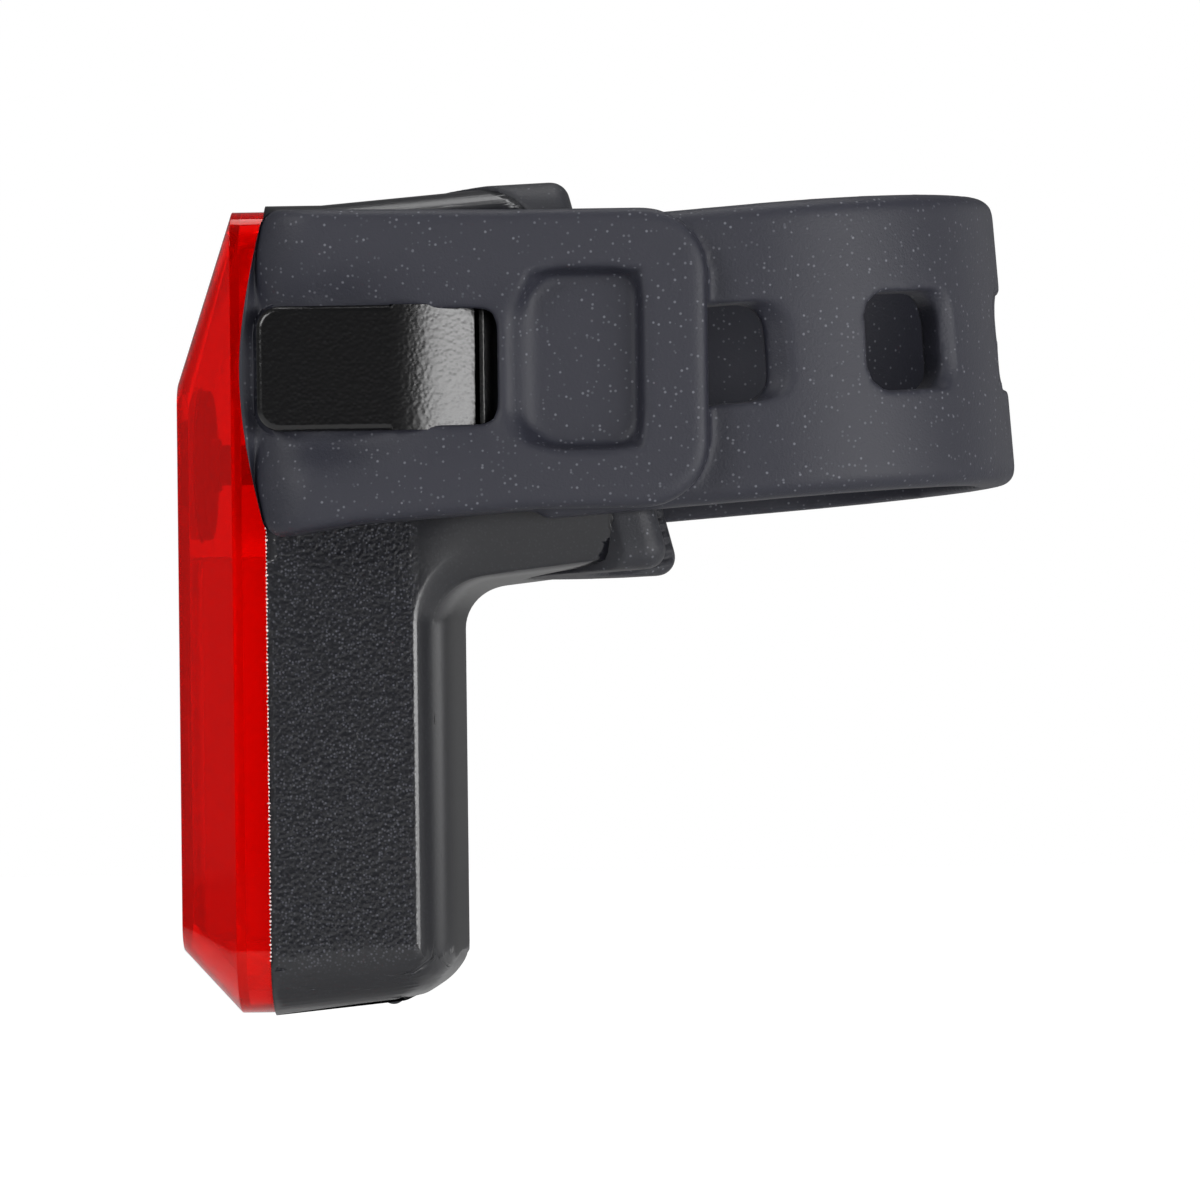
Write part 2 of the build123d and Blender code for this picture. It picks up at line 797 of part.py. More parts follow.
        with Locations(peg_places):
            Circle(peg_radius + peg_gap)
    extrude(amount=peg_length + overrun, mode=Mode.SUBTRACT)
rear_housing.part.label = "rear_housing"

# Port cover: plate, barrel and the plug that fills the slot
plate_top_z = recess_floor_z - cover_step
with BuildPart() as port_cover:
    with BuildSketch(Plane.XZ):
        with BuildLine():
            Polyline(
                (hinge_x, plate_top_z),
                (cover_tip_x, plate_top_z),
                (cover_tip_x, bottom_z(cover_tip_x)),
                (hinge_x, bottom_z(hinge_x)),
                close=True,
            )
        make_face()
        with Locations((hinge_x, hinge_z)):
            Circle(cover_barrel_radius)
    extrude(amount=cover_width / 2, both=True)
    with BuildSketch(Plane.XY.offset(plate_top_z)):
        with Locations((usb_x, 0)):
            RectangleRounded(slot_thick - 2 * plug_gap, slot_width - 2 * plug_gap, plug_gap)
    extrude(amount=plug_height, taper=plug_taper)
port_cover.part.label = "port_cover"

# Hook: a tenon in the arm, a neck through the strap and a plate that overhangs towards the lens
foot_x = shell_x + hook_foot_length
neck_x = shell_x - hook_neck_length
flat_x = shell_x - hook_curve_length
foot_face = side_face + hook_foot_height
with BuildPart() as near_hook:
    with BuildSketch(Plane.XY.offset(-hook_drop)) as plan_view:
        with BuildLine():
            Polyline(
                (flat_x, -hook_face),
                (tip_x, -hook_face),
                (tip_x, hook_plate - hook_face),
                (neck_x, hook_plate - hook_face),
                (neck_x, -side_face),
                (shell_x, -side_face),
                (shell_x, -foot_face),
            )
            Bezier((shell_x, -foot_face), (shell_x, -hook_face), (flat_x, -hook_face))
        make_face()
    extrude(amount=hook_height / 2, both=True)
    tip_edges = near_hook.edges().filter_by(Axis.Y).group_by(Axis.X)[0]
    fillet(tip_edges, hook_corner)
    outer_edges = near_hook.faces().sort_by(Axis.Y)[0].edges()
    fillet(outer_edges.filter_by(lambda e: e.center().X < flat_x - hook_edge), hook_edge)
    with BuildSketch(Plane.XZ.offset(side_face)):
        with Locations(((neck_x + foot_x) / 2, -hook_drop)):
            Rectangle(foot_x - neck_x, hook_base_height)
    extrude(amount=hook_foot_height)
    foot_edges = near_hook.edges().filter_by(Axis.Z).group_by(Axis.X)[-1].sort_by(Axis.Y)
    fillet(foot_edges[0], hook_corner / 2)
    with BuildSketch(Plane.XZ.offset(side_face)):
        with Locations((tenon_x, -hook_drop)):
            Rectangle(tenon_length, tenon_height)
    extrude(amount=-tenon_depth)
    with BuildSketch(Plane.YZ.offset(tenon_x)):
        with Locations((-hook_screw_y, -hook_drop)):
            Circle(hook_screw_radius + screw_gap)
    extrude(amount=tenon_length, both=True, mode=Mode.SUBTRACT)
near_hook.part.label = "near_hook"

with BuildPart() as far_hook:
    mirror(near_hook.part, about=Plane.XZ)
far_hook.part.label = "far_hook"

with BuildPart() as hook_screws:
    with BuildSketch(Plane.YZ.offset(hook_head_x)):
        with Locations(screw_pair):
            Circle(hook_screw_head_radius)
    extrude(amount=-hook_screw_head_thick)
    with BuildSketch(Plane.YZ.offset(hook_head_x - hook_screw_head_thick)):
        with Locations(screw_pair):
            Circle(hook_screw_radius)
    extrude(amount=-(hook_screw_length - hook_screw_head_thick))
hook_screws.part.label = "hook_screws"

# Saddle pad: a ring sector round the post's axis with ridges across it and two pegs at its back
pad_radius = saddle_radius - pad_gap
pad_length = pad_top - pad_bottom
fall = tan(radians(pad_slope))
tip_top = on_post(-pad_tip, pad_top)
tip_foot = on_post(-pad_tip, pad_bottom)
far_back = -2 * saddle_radius
with BuildPart() as pad_envelope:
    with BuildSketch(Plane.XZ) as pad_side:
        with BuildLine():
            Polyline(
                (far_back, pad_top - (tip_top[0] - far_back) * fall),
                tip_top,
                tip_foot,
                (far_back, pad_bottom - (tip_foot[0] - far_back) * fall),
                close=True,
            )
        make_face()
    extrude(amount=half_width, both=True)
    long_edges = pad_envelope.edges().filter_by(lambda e: abs(e.center().Y) > half_width - pick_margin)
    fillet(long_edges.filter_by(lambda e: e.center().Z > pad_top / 2), top_corner)
    long_edges = pad_envelope.edges().filter_by(lambda e: abs(e.center().Y) > half_width - pick_margin)
    fillet(long_edges.filter_by(lambda e: e.center().Z < pad_bottom / 2), pad_side_round)
    tip_edges = pad_envelope.edges().filter_by(Axis.Y).sort_by(Axis.X)[-2:]
    fillet(tip_edges, pad_corner)

with BuildPart() as saddle_pad:
    with BuildSketch(post_plane.offset(-pad_length)) as pad_plan:
        Circle(pad_radius)
        with Locations((-pad_tip - pad_radius, 0)):
            Rectangle(2 * pad_radius, 2 * side_face, mode=Mode.INTERSECT)
        fillet(pad_plan.vertices().group_by(Axis.X)[-1], pad_tip_round)
        Circle(post_radius, mode=Mode.SUBTRACT)
    extrude(amount=2 * pad_length)
    add(pad_envelope.part, mode=Mode.INTERSECT)
    ridge_count = int(pad_length / cos(lean) / ridge_pitch) - 1
    groove = (ridge_pitch - ridge_width) / 2
    ridge_plane = Plane(origin=post_plane.origin, x_dir=post_plane.x_dir, z_dir=-post_plane.y_dir)
    pad_middle = (pad_top + pad_bottom) / 2 / cos(lean)
    for ridge in range(ridge_count):
        level = pad_middle + (ridge - (ridge_count - 1) / 2) * ridge_pitch
        with BuildSketch(ridge_plane):
            with BuildLine():
                Polyline(
                    (-post_radius + ridge_depth, level - 2 * groove),
                    (-post_radius - ridge_depth, level),
                    (-post_radius + ridge_depth, level + 2 * groove),
                    close=True,
                )
            make_face()
        revolve(axis=Axis(post_plane.origin, post_plane.z_dir), mode=Mode.SUBTRACT)
    with BuildSketch(pad_back_plane.offset(peg_gap)):
        with Locations(peg_places):
            Circle(peg_radius)
    extrude(amount=peg_length + overrun - peg_gap)
saddle_pad.part.label = "saddle_pad"

# Strap. A band with square holes, each with a ramp at its far side, runs round the post. Each end
# is a thick head with a seat and a hole for its hook, and the near head carries the pull tab.
band_plane = Plane(
    origin=(0, 0, strap_level),
    x_dir=(cos(radians(strap_tilt)), 0, sin(radians(strap_tilt))),
    z_dir=(-sin(radians(strap_tilt)), 0, cos(radians(strap_tilt))),
)
band_middle = (strap_inner + strap_outer) / 2
head_reach = head_wrap - tip_x
head_shoulder = head_reach - head_bulge
head_waist_reach = head_reach - head_waist_run
head_end = -shell_x - head_tail
band_end_x = -head_end - overrun
head_thick = strap_thick + tab_slit + tab_thick
head_face = strap_inner + head_thick
arc_length = pi * band_middle


def band_place(s):
    """Point and outward direction on the band's middle line, s along it from the post's level."""
    if s < loop_reach:
        return (s, -band_middle), (0, -1)
    if s > loop_reach + arc_length:
        return (2 * loop_reach + arc_length - s, band_middle), (0, 1)
    turn = (s - loop_reach) / band_middle
    out = (sin(turn), -cos(turn))
    return (loop_reach + band_middle * out[0], band_middle * out[1]), out


def loop_outline(radius, end_x):
    """Straight runs at a distance from the centre line, joined by a half circle."""
    Polyline((loop_reach, radius), (end_x, radius), (end_x, -radius), (loop_reach, -radius))
    ThreePointArc((loop_reach, -radius), (loop_reach + radius, 0), (loop_reach, radius))


with BuildPart() as band:
    with BuildSketch(band_plane.offset(-strap_width / 2)):
        with BuildLine():
            loop_outline(strap_outer, band_end_x)
        make_face()
    extrude(amount=strap_width)
    outer_loops = band.edges().filter_by(lambda e: e.length > strap_outer)
    fillet(outer_loops, band_outer_round)
    with BuildSketch(band_plane.offset(-strap_width)):
        with BuildLine():
            loop_outline(strap_inner, band_end_x - overrun)
        make_face()
    extrude(amount=2 * strap_width, mode=Mode.SUBTRACT)
    for number in range(hole_count):
        place, out = band_place(first_hole + number * hole_pitch)
        hole_plane = Plane(
            origin=band_plane.from_local_coords((place[0], place[1], 0)),
            x_dir=band_plane.z_dir,
            z_dir=band_plane.x_dir * out[0] + band_plane.y_dir * out[1],
        )
        with BuildSketch(hole_plane.offset(-strap_thick)):
            RectangleRounded(hole_side, hole_side, hole_corner)
        extrude(amount=2 * strap_thick, mode=Mode.SUBTRACT)
        with BuildSketch(hole_plane.offset(strap_thick / 2 - ramp_depth)):
            RectangleRounded(hole_side, hole_side, hole_corner)
        with BuildSketch(hole_plane.offset(strap_thick / 2 + ramp_depth)):
            with Locations((0, -ramp_length)):
                RectangleRounded(hole_side, hole_side + 2 * ramp_length, hole_corner)
        loft(mode=Mode.SUBTRACT)

near_face = Plane.XZ.offset(strap_inner)
with BuildPart() as head:
    with BuildSketch(near_face) as head_view:
        with BuildLine():
            Polyline(
                (-head_shoulder, head_foot),
                (-head_waist_reach, head_waist),
                (-head_end, tab_bottom),
                (-head_end, head_top),
                (-head_shoulder, head_top + head_rise),
            )
            Spline(
                (-head_shoulder, head_top + head_rise),
                (-head_reach, -hook_drop),
                (-head_shoulder, head_foot),
                tangents=[(-head_lean, -1), (head_lean, -1)],
            )
        make_face()
        fillet(head_view.vertices().group_by(Axis.X)[0], head_corner)
    extrude(amount=head_thick)
    front_loop = head.faces().sort_by(Axis.Y)[0].edges()
    fillet(front_loop.filter_by(lambda e: e.center().X < -head_end - head_edge), head_edge)

with BuildPart() as far_head:
    mirror(head.part, about=Plane.XZ)
    end_edge = far_head.edges().filter_by(Axis.Z).sort_by_distance((-head_end, head_face, 0))[0]
    fillet(end_edge, far_end_round)

with BuildPart() as tab:
    with BuildSketch(near_face.offset(strap_thick + tab_slit)) as tab_view:
        with BuildLine():
            Polyline(
                (-head_end - overrun, tab_bottom),
                (tab_end, tab_bottom),
                (tab_end, head_top),
                (-head_end - overrun, head_top),
                close=True,
            )
        make_face()
        fillet(tab_view.vertices().group_by(Axis.X)[-1], tab_corner)
    extrude(amount=tab_thick)
    front_loop = tab.faces().sort_by(Axis.Y)[0].edges()
    fillet(front_loop.filter_by(lambda e: e.center().X > -head_end - overrun / 2), tab_edge)

thumb_x = tab_end - thumb_inset - thumb_length / 2
with BuildPart() as thumb_tool:
    with BuildSketch(near_face.offset(head_thick)):
        with Locations((thumb_x, -thumb_drop)):
            RectangleRounded(thumb_length, thumb_height, thumb_corner)
    extrude(amount=-thumb_depth, taper=thumb_taper)
    fillet(thumb_tool.faces().sort_by(Axis.Y)[-1].edges(), thumb_floor_round)

# The seat is cut to the band's thickness around the hook, and the hook's hole goes through it
seat_x = (tip_x + foot_x) / 2
seat_length = foot_x - tip_x + 2 * seat_gap
with BuildPart() as strap:
    add(band.part)
    add(head.part)
    add(far_head.part)
    add(tab.part)
    for side in (1, -1):
        outward = (0, -side, 0)
        seat_plane = Plane((seat_x, -side * strap_outer, -hook_drop), x_dir=(1, 0, 0), z_dir=outward)
        with BuildSketch(seat_plane):
            RectangleRounded(seat_length, hook_height + 2 * seat_gap, hook_corner + seat_gap)
        extrude(amount=head_thick, taper=-seat_taper, mode=Mode.SUBTRACT)
        hole_x = (neck_x + foot_x) / 2
        hook_hole_plane = Plane((hole_x, -side * side_face, -hook_drop), x_dir=(1, 0, 0), z_dir=outward)
        with BuildSketch(hook_hole_plane):
            RectangleRounded(
                foot_x - neck_x + 2 * hook_hole_gap, hook_height + 2 * hook_hole_gap, hook_hole_corner
            )
        extrude(amount=2 * head_thick, mode=Mode.SUBTRACT)
    add(thumb_tool.part, mode=Mode.SUBTRACT)
    front = strap.faces().filter_by(Axis.Y).sort_by(Axis.Y)[0]
    fillet(front.inner_wires().sort_by_distance((tab_end, -head_face, 0))[0].edges(), thumb_lip_round)
strap.part.label = "strap"

pieces = [
    lens.part,
    button_bezel.part,
    button_cap.part,
    switch_body.part,
    switch_plunger.part,
    sensor_window.part,
    reflector_tray.part,
    optic_plate.part,
    leds.part,
    led_board.part,
    board_screws.part,
    light_sensor,
    status_led,
    controller_chip,
    motion_sensor,
    usb_socket.part,
    usb_tongue.part,
    battery.part,
    battery_foam.part,
    cell_board.part,
    battery_leads.part,
    rear_housing.part,
    port_cover.part,
    near_hook.part,
    far_hook.part,
    hook_screws.part,
    saddle_pad.part,
    strap.part,
]
for piece in pieces:
    export_step(piece, f"parts/{piece.label}.step")
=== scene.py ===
# %% [markdown]
# # A bicycle rear light, dressed in Blender
#
# The light has a red lens on a black housing, and an arm whose rubber pad rests on the seat post.
# A rubber strap goes round the post and is pulled over two hooks. The sizes and places come from
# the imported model, so this script adds surfaces and finishes, and moves nothing.

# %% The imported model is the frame
from math import cos, pi, radians, sin, tan

import bmesh
import bpy
import numpy as np
from mathutils import Matrix, Vector


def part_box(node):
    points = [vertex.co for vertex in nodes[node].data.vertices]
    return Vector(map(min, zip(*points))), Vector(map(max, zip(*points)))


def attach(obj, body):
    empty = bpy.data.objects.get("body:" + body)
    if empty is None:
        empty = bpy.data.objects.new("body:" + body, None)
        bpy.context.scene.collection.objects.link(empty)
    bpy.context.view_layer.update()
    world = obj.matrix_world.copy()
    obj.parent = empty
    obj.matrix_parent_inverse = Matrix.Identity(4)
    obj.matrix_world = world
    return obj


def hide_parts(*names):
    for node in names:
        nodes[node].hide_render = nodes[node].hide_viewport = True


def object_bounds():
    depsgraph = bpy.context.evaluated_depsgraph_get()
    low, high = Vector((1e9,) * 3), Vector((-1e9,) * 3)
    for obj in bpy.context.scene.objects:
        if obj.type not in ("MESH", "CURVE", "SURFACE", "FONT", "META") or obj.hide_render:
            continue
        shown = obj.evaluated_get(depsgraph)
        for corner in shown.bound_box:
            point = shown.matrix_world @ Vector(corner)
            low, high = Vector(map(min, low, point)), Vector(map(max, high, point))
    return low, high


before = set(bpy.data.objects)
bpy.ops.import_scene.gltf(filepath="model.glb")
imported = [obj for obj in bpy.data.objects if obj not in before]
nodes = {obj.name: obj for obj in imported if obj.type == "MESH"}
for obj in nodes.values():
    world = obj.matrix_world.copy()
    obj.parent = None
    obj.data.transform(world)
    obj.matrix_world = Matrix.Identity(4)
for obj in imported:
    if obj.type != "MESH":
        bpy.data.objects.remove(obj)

mm = 0.001
cad_low, cad_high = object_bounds()
print("CAD box in mm:", [round(side / mm, 1) for side in cad_high - cad_low])

# %% [markdown]
# ## The camera
#
# The photograph looks almost square onto the strap's side, from a long way off, so that the sides
# of the body stay nearly parallel. A camera is its right, up and back directions and a place.
# Building that matrix directly is clearer than turning the camera by three angles in a row.

# %% Camera
camera_yaw = radians(2.3)
camera_rise = radians(1.0)
camera_roll = radians(0.7)
camera_distance = 500 * mm
looked_at = Vector((-8.5, 0, -19.5)) * mm
focal_pixels = 6350
photo_pixels = 1200
sensor_width = 36


def aim_camera():
    """A long lens, level but for a slight tilt and roll."""
    ahead = Vector((
        -sin(camera_yaw) * cos(camera_rise),
        cos(camera_yaw) * cos(camera_rise),
        sin(camera_rise),
    ))
    level_right = Vector((cos(camera_yaw), sin(camera_yaw), 0))
    level_up = level_right.cross(ahead)
    right = level_right * cos(camera_roll) - level_up * sin(camera_roll)
    up = level_up * cos(camera_roll) + level_right * sin(camera_roll)
    lens = bpy.data.cameras.new("camera")
    lens.sensor_width = sensor_width
    lens.lens = focal_pixels / photo_pixels * sensor_width
    lens.clip_start = camera_distance / 100
    camera = bpy.data.objects.new("camera", lens)
    turn = Matrix((right, up, -ahead)).transposed()
    camera.matrix_world = Matrix.Translation(looked_at - ahead * camera_distance) @ turn.to_4x4()
    bpy.context.scene.collection.objects.link(camera)
    bpy.context.scene.camera = camera
    return camera


camera = aim_camera()
print("focal length in mm:", round(camera.data.lens, 1))

# %% [markdown]
# ## One small helper for nodes, one for colours
#
# Shader trees are easier to read when a node is one line that says its settings and what is
# plugged into it. Colours are written as the hex values that a colour picker shows, and Blender
# wants them linear.

# %% Node and colour helpers
def add_node(tree, kind, inputs=None, **settings):
    """Adds one node with its settings. An input is given as a value or as another node's socket."""
    node = tree.nodes.new(kind)
    for name, value in settings.items():
        setattr(node, name, value)
    for name, value in (inputs or {}).items():
        if isinstance(value, bpy.types.NodeSocket):
            tree.links.new(value, node.inputs[name])
        else:
            node.inputs[name].default_value = value
    return node


def linear(hex_colour):
    """An sRGB hex colour as linear red, green, blue and alpha."""
    shares = [int(hex_colour[i:i + 2], 16) / 255 for i in (1, 3, 5)]
    return [c / 12.92 if c <= 0.04045 else ((c + 0.055) / 1.055) ** 2.4 for c in shares] + [1]


def per_metre(size_mm):
    """The scale of a texture whose features are this many millimetres across."""
    return 1 / (size_mm * mm)


def plain_material(name, colour, roughness, **sockets):
    """A Principled material with uniform values on the shader's own sockets."""
    material = bpy.data.materials.new(name)
    material.use_nodes = True
    shader = material.node_tree.nodes["Principled BSDF"]
    shader.inputs["Base Color"].default_value = linear(colour)
    shader.inputs["Roughness"].default_value = roughness
    for socket, value in sockets.items():
        shader.inputs[socket.replace("_", " ")].default_value = value
    return material


def give_bump(material, height, distance_mm, strength=1.0):
    """Plugs a height into the shader's normal."""
    tree = material.node_tree
    inputs = {"Height": height, "Distance": distance_mm * mm, "Strength": strength}
    bump = add_node(tree, "ShaderNodeBump", inputs)
    tree.links.new(bump.outputs["Normal"], tree.nodes["Principled BSDF"].inputs["Normal"])
    return bump


def dress(node, material):
    """Gives a CAD node its material and leaves its mesh alone."""
    mesh = nodes[node].data
    mesh.materials.clear()
    mesh.materials.append(material)


# %% [markdown]
# ## Studio
#
# The background is plain white, but a black glossy hook must stay black where it faces the
# viewer. So the world is white to the eye and behind the object, and dark in front of it, as a
# studio with a black flag behind the camera. Two soft boxes and a top light give the highlights.

# %% World, floor and lamps
floor_drop = 40 * mm
world_light = 0.09
floor_glow = 0.95
flag_edge_shares = (0.30, 0.80)


def make_world():
    """White for the eye and through glass, softer on surfaces, dark where gloss looks forward."""
    world = bpy.data.worlds.new("studio")
    bpy.context.scene.world = world
    world.use_nodes = True
    tree = world.node_tree
    tree.nodes.clear()
    path = add_node(tree, "ShaderNodeLightPath")
    place = add_node(tree, "ShaderNodeTexCoord")
    axes = add_node(tree, "ShaderNodeSeparateXYZ", {"Vector": place.outputs["Generated"]})
    forward = add_node(tree, "ShaderNodeMath", {0: axes.outputs["Y"], 1: -1}, operation="MULTIPLY")
    flag = add_node(tree, "ShaderNodeMapRange", {
        "Value": forward.outputs[0],
        "From Min": flag_edge_shares[0],
        "From Max": flag_edge_shares[1],
        "To Min": 0.16,
        "To Max": 0.01,
    }, interpolation_type="SMOOTHSTEP")
    seen = add_node(tree, "ShaderNodeMath", {
        0: path.outputs["Is Camera Ray"], 1: path.outputs["Is Transmission Ray"],
    }, operation="MAXIMUM")
    not_gloss = add_node(tree, "ShaderNodeMix", {
        0: path.outputs["Is Glossy Ray"], 2: world_light, 3: flag.outputs["Result"],
    })
    strength = add_node(tree, "ShaderNodeMix", {
        0: seen.outputs[0], 2: not_gloss.outputs[0], 3: 1.0,
    })
    background = add_node(tree, "ShaderNodeBackground", {
        "Color": linear("#ffffff"), "Strength": strength.outputs[0],
    })
    output = add_node(tree, "ShaderNodeOutputWorld")
    tree.links.new(background.outputs[0], output.inputs["Surface"])


def make_lamp(name, place_mm, wide_mm, high_mm, watts):
    """A soft box that faces the middle of the light."""
    data = bpy.data.lights.new(name, "AREA")
    data.shape = "RECTANGLE"
    data.size = wide_mm * mm
    data.size_y = high_mm * mm
    data.energy = watts
    lamp = bpy.data.objects.new(name, data)
    lamp.location = Vector(place_mm) * mm
    lamp.rotation_euler = (looked_at - lamp.location).to_track_quat("-Z", "Y").to_euler()
    bpy.context.scene.collection.objects.link(lamp)


def make_floor():
    """A pale floor well below the light, which hangs from its seat post."""
    mesh = bpy.data.meshes.new("floor")
    half = 2000 * mm
    level = cad_low.z - floor_drop
    corners = [(-half, -half, level), (half, -half, level), (half, half, level), (-half, half, level)]
    mesh.from_pydata(corners, [], [(0, 1, 2, 3)])
    floor = bpy.data.objects.new("floor", mesh)
    bpy.context.scene.collection.objects.link(floor)
    material = plain_material("painted_floor", "#f6f6f6", 0.9)
    tree = material.node_tree
    shader = tree.nodes["Principled BSDF"]
    path = add_node(tree, "ShaderNodeLightPath")
    glow = add_node(tree, "ShaderNodeEmission", {"Color": linear("#ffffff"), "Strength": floor_glow})
    both = add_node(tree, "ShaderNodeAddShader", {0: shader.outputs[0], 1: glow.outputs[0]})
    pick = add_node(tree, "ShaderNodeMixShader", {
        0: path.outputs["Is Camera Ray"], 1: shader.outputs[0], 2: both.outputs[0],
    })
    tree.links.new(pick.outputs[0], tree.nodes["Material Output"].inputs["Surface"])
    mesh.materials.append(material)


make_world()
make_floor()
make_lamp("left_box", (-400, -420, 260), 280, 280, 2.1)
make_lamp("right_box", (360, -390, 10), 480, 120, 2.6)
make_lamp("top_box", (20, 30, 520), 300, 300, 1.4)
make_lamp("back_box", (380, 260, 60), 240, 240, 0.25)
bpy.context.scene.view_settings.view_transform = "Standard"

# %% [markdown]
# ## Moulded plastics and rubbers
#
# Almost everything here is black, and the difference is in the surface. The housing's steel mould
# was spark eroded, which leaves a coarse grain that glitters; the glitter is painted highlights,
# pale specks in the colour. The hooks are smoother and glossy with a leather-like grain. The silicone
# strap is matt, bluish and holds dust, and its faint sparkle is painted as pale specks as well.

# %% Black plastics
def facing_sideways(tree, place, low, high):
    """0 to 1 as a surface turns to face the sides of the light, where the mould was eroded most."""
    axes = add_node(tree, "ShaderNodeSeparateXYZ", {"Vector": place.outputs["Normal"]})
    sideways = add_node(tree, "ShaderNodeMath", {0: axes.outputs["Y"]}, operation="ABSOLUTE")
    return add_node(tree, "ShaderNodeMapRange", {
        "Value": sideways.outputs[0], "From Min": low, "From Max": high,
    }, interpolation_type="SMOOTHSTEP").outputs["Result"]


def specks(tree, place, cell_mm, size_share, chance_share, strength):
    """Small dots, one in some of the cells of a random pattern."""
    cells = add_node(tree, "ShaderNodeTexVoronoi", {
        "Vector": place.outputs["Object"], "Scale": per_metre(cell_mm),
    })
    chance = add_node(tree, "ShaderNodeSeparateColor", {"Color": cells.outputs["Color"]})
    dot = add_node(tree, "ShaderNodeMapRange", {
        "Value": cells.outputs["Distance"], "From Min": size_share / 2, "From Max": size_share,
        "To Min": 1.0, "To Max": 0.0,
    })
    kept = add_node(tree, "ShaderNodeMapRange", {
        "Value": chance.outputs[0], "From Min": 1 - chance_share, "From Max": 1.0,
        "To Min": 0.0, "To Max": strength,
    })
    return add_node(tree, "ShaderNodeMath", {
        0: dot.outputs["Result"], 1: kept.outputs["Result"],
    }, operation="MULTIPLY").outputs[0]


grain_edge = -22.2


def spark_eroded_plastic():
    """ABS from a spark-eroded mould: fine craters on the body's sides, with painted glints as pale specks.

    The back and the arm, beyond the body's edge, come from a smoother part of the mould.
    """
    material = plain_material("spark_eroded_abs", "#0c0d13", 0.3, Specular_IOR_Level=0.6)
    tree = material.node_tree
    place = add_node(tree, "ShaderNodeTexCoord")
    grain = add_node(tree, "ShaderNodeTexNoise", {
        "Vector": place.outputs["Object"], "Scale": per_metre(0.3), "Detail": 0.5, "Roughness": 0.5,
    })
    axes = add_node(tree, "ShaderNodeSeparateXYZ", {"Vector": place.outputs["Object"]})
    on_body = add_node(tree, "ShaderNodeMapRange", {
        "Value": axes.outputs["X"], "From Min": (grain_edge - 0.3) * mm, "From Max": (grain_edge + 0.5) * mm,
        "To Min": 1.0, "To Max": 0.0,
    })
    coarse = add_node(tree, "ShaderNodeMath", {
        0: facing_sideways(tree, place, 0.9, 0.995), 1: on_body.outputs["Result"],
    }, operation="MULTIPLY")
    share = add_node(tree, "ShaderNodeMapRange", {
        "Value": coarse.outputs[0], "To Min": 0.12, "To Max": 1.0,
    })
    height = add_node(tree, "ShaderNodeMath", {
        0: grain.outputs["Fac"], 1: share.outputs["Result"],
    }, operation="MULTIPLY")
    give_bump(material, height.outputs[0], 0.055)
    # Painted highlights: pale specks mixed into the base colour stand in for the craters' facets catching the
    # light.
    painted_glints = specks(tree, place, 0.24, 0.45, 0.95, 0.22)
    shown = add_node(tree, "ShaderNodeMath", {0: painted_glints, 1: share.outputs["Result"]}, operation="MULTIPLY")
    paint = add_node(tree, "ShaderNodeMix", {
        0: shown.outputs[0], 6: linear("#0c0d13"), 7: linear("#8a8c98"),
    }, data_type="RGBA")
    tree.links.new(paint.outputs[2], tree.nodes["Principled BSDF"].inputs["Base Color"])
    return material


def grained_gloss_plastic():
    """Nylon from a polished mould with a fine leather-like grain, which only shows in highlights."""
    material = plain_material("grained_nylon", "#060607", 0.27)
    tree = material.node_tree
    place = add_node(tree, "ShaderNodeTexCoord")
    grain = add_node(tree, "ShaderNodeTexVoronoi", {
        "Vector": place.outputs["Object"], "Scale": per_metre(0.3),
    }, feature="SMOOTH_F1")
    give_bump(material, grain.outputs["Distance"], 0.02)
    return material


def silicone_rubber(name, colour, dust_share):
    """Matt silicone: a fine bloom whose faint sparkle is painted as pale specks, and dust that clings as pale
    specks.
    """
    material = plain_material(name, colour, 0.6)
    tree = material.node_tree
    shader = tree.nodes["Principled BSDF"]
    place = add_node(tree, "ShaderNodeTexCoord")
    bloom = add_node(tree, "ShaderNodeTexNoise", {
        "Vector": place.outputs["Object"], "Scale": per_metre(0.2), "Detail": 2.0,
    })
    give_bump(material, bloom.outputs["Fac"], 0.03)
    # Painted highlights: small pale specks in the colour stand in for the bloom's sparkle; the dust specks below
    # are real dust.
    painted_sparkle = specks(tree, place, 0.42, 0.3, 0.45, 0.2)
    dust = specks(tree, place, 1.5, 0.07, dust_share, 0.2)
    share = add_node(tree, "ShaderNodeMath", {0: painted_sparkle, 1: dust}, operation="MAXIMUM")
    paint = add_node(tree, "ShaderNodeMix", {
        0: share.outputs[0], 6: linear(colour), 7: linear("#b4b6c0"),
    }, data_type="RGBA")
    tree.links.new(paint.outputs[2], shader.inputs["Base Color"])
    return material


housing_plastic = spark_eroded_plastic()
hook_plastic = grained_gloss_plastic()
strap_rubber = silicone_rubber("charcoal_silicone", "#1c1d28", 0.5)
pad_rubber = silicone_rubber("black_silicone", "#202127", 0.35)
print("black finishes:", housing_plastic.name, hook_plastic.name, strap_rubber.name, pad_rubber.name)

# %% [markdown]
# ## The red lens
#
# The lens is clear red polycarbonate, 1.5 mm thick and polished. Light crosses it twice on the
# way in and out, so its colour is strong though the sheet is clear. A part of the light is
# scattered inside the wall, which is why the sides glow evenly.

# %% Clear red polycarbonate
lens_red = plain_material(
    "red_polycarbonate", "#ff0603", 0.04, IOR=1.58, Transmission_Weight=0.74,
    Specular_Tint=(1.0, 0.3, 0.25, 1.0),
)
window_red = plain_material("tinted_polycarbonate", "#4a0810", 0.08, IOR=1.58)
clear_optic = plain_material("clear_polycarbonate", "#f4f4f4", 0.05, IOR=1.58, Transmission_Weight=0.9)

# %% [markdown]
# ## What shows through the lens
#
# These small pieces are real parts too: white reflector, boards, chips and screws.

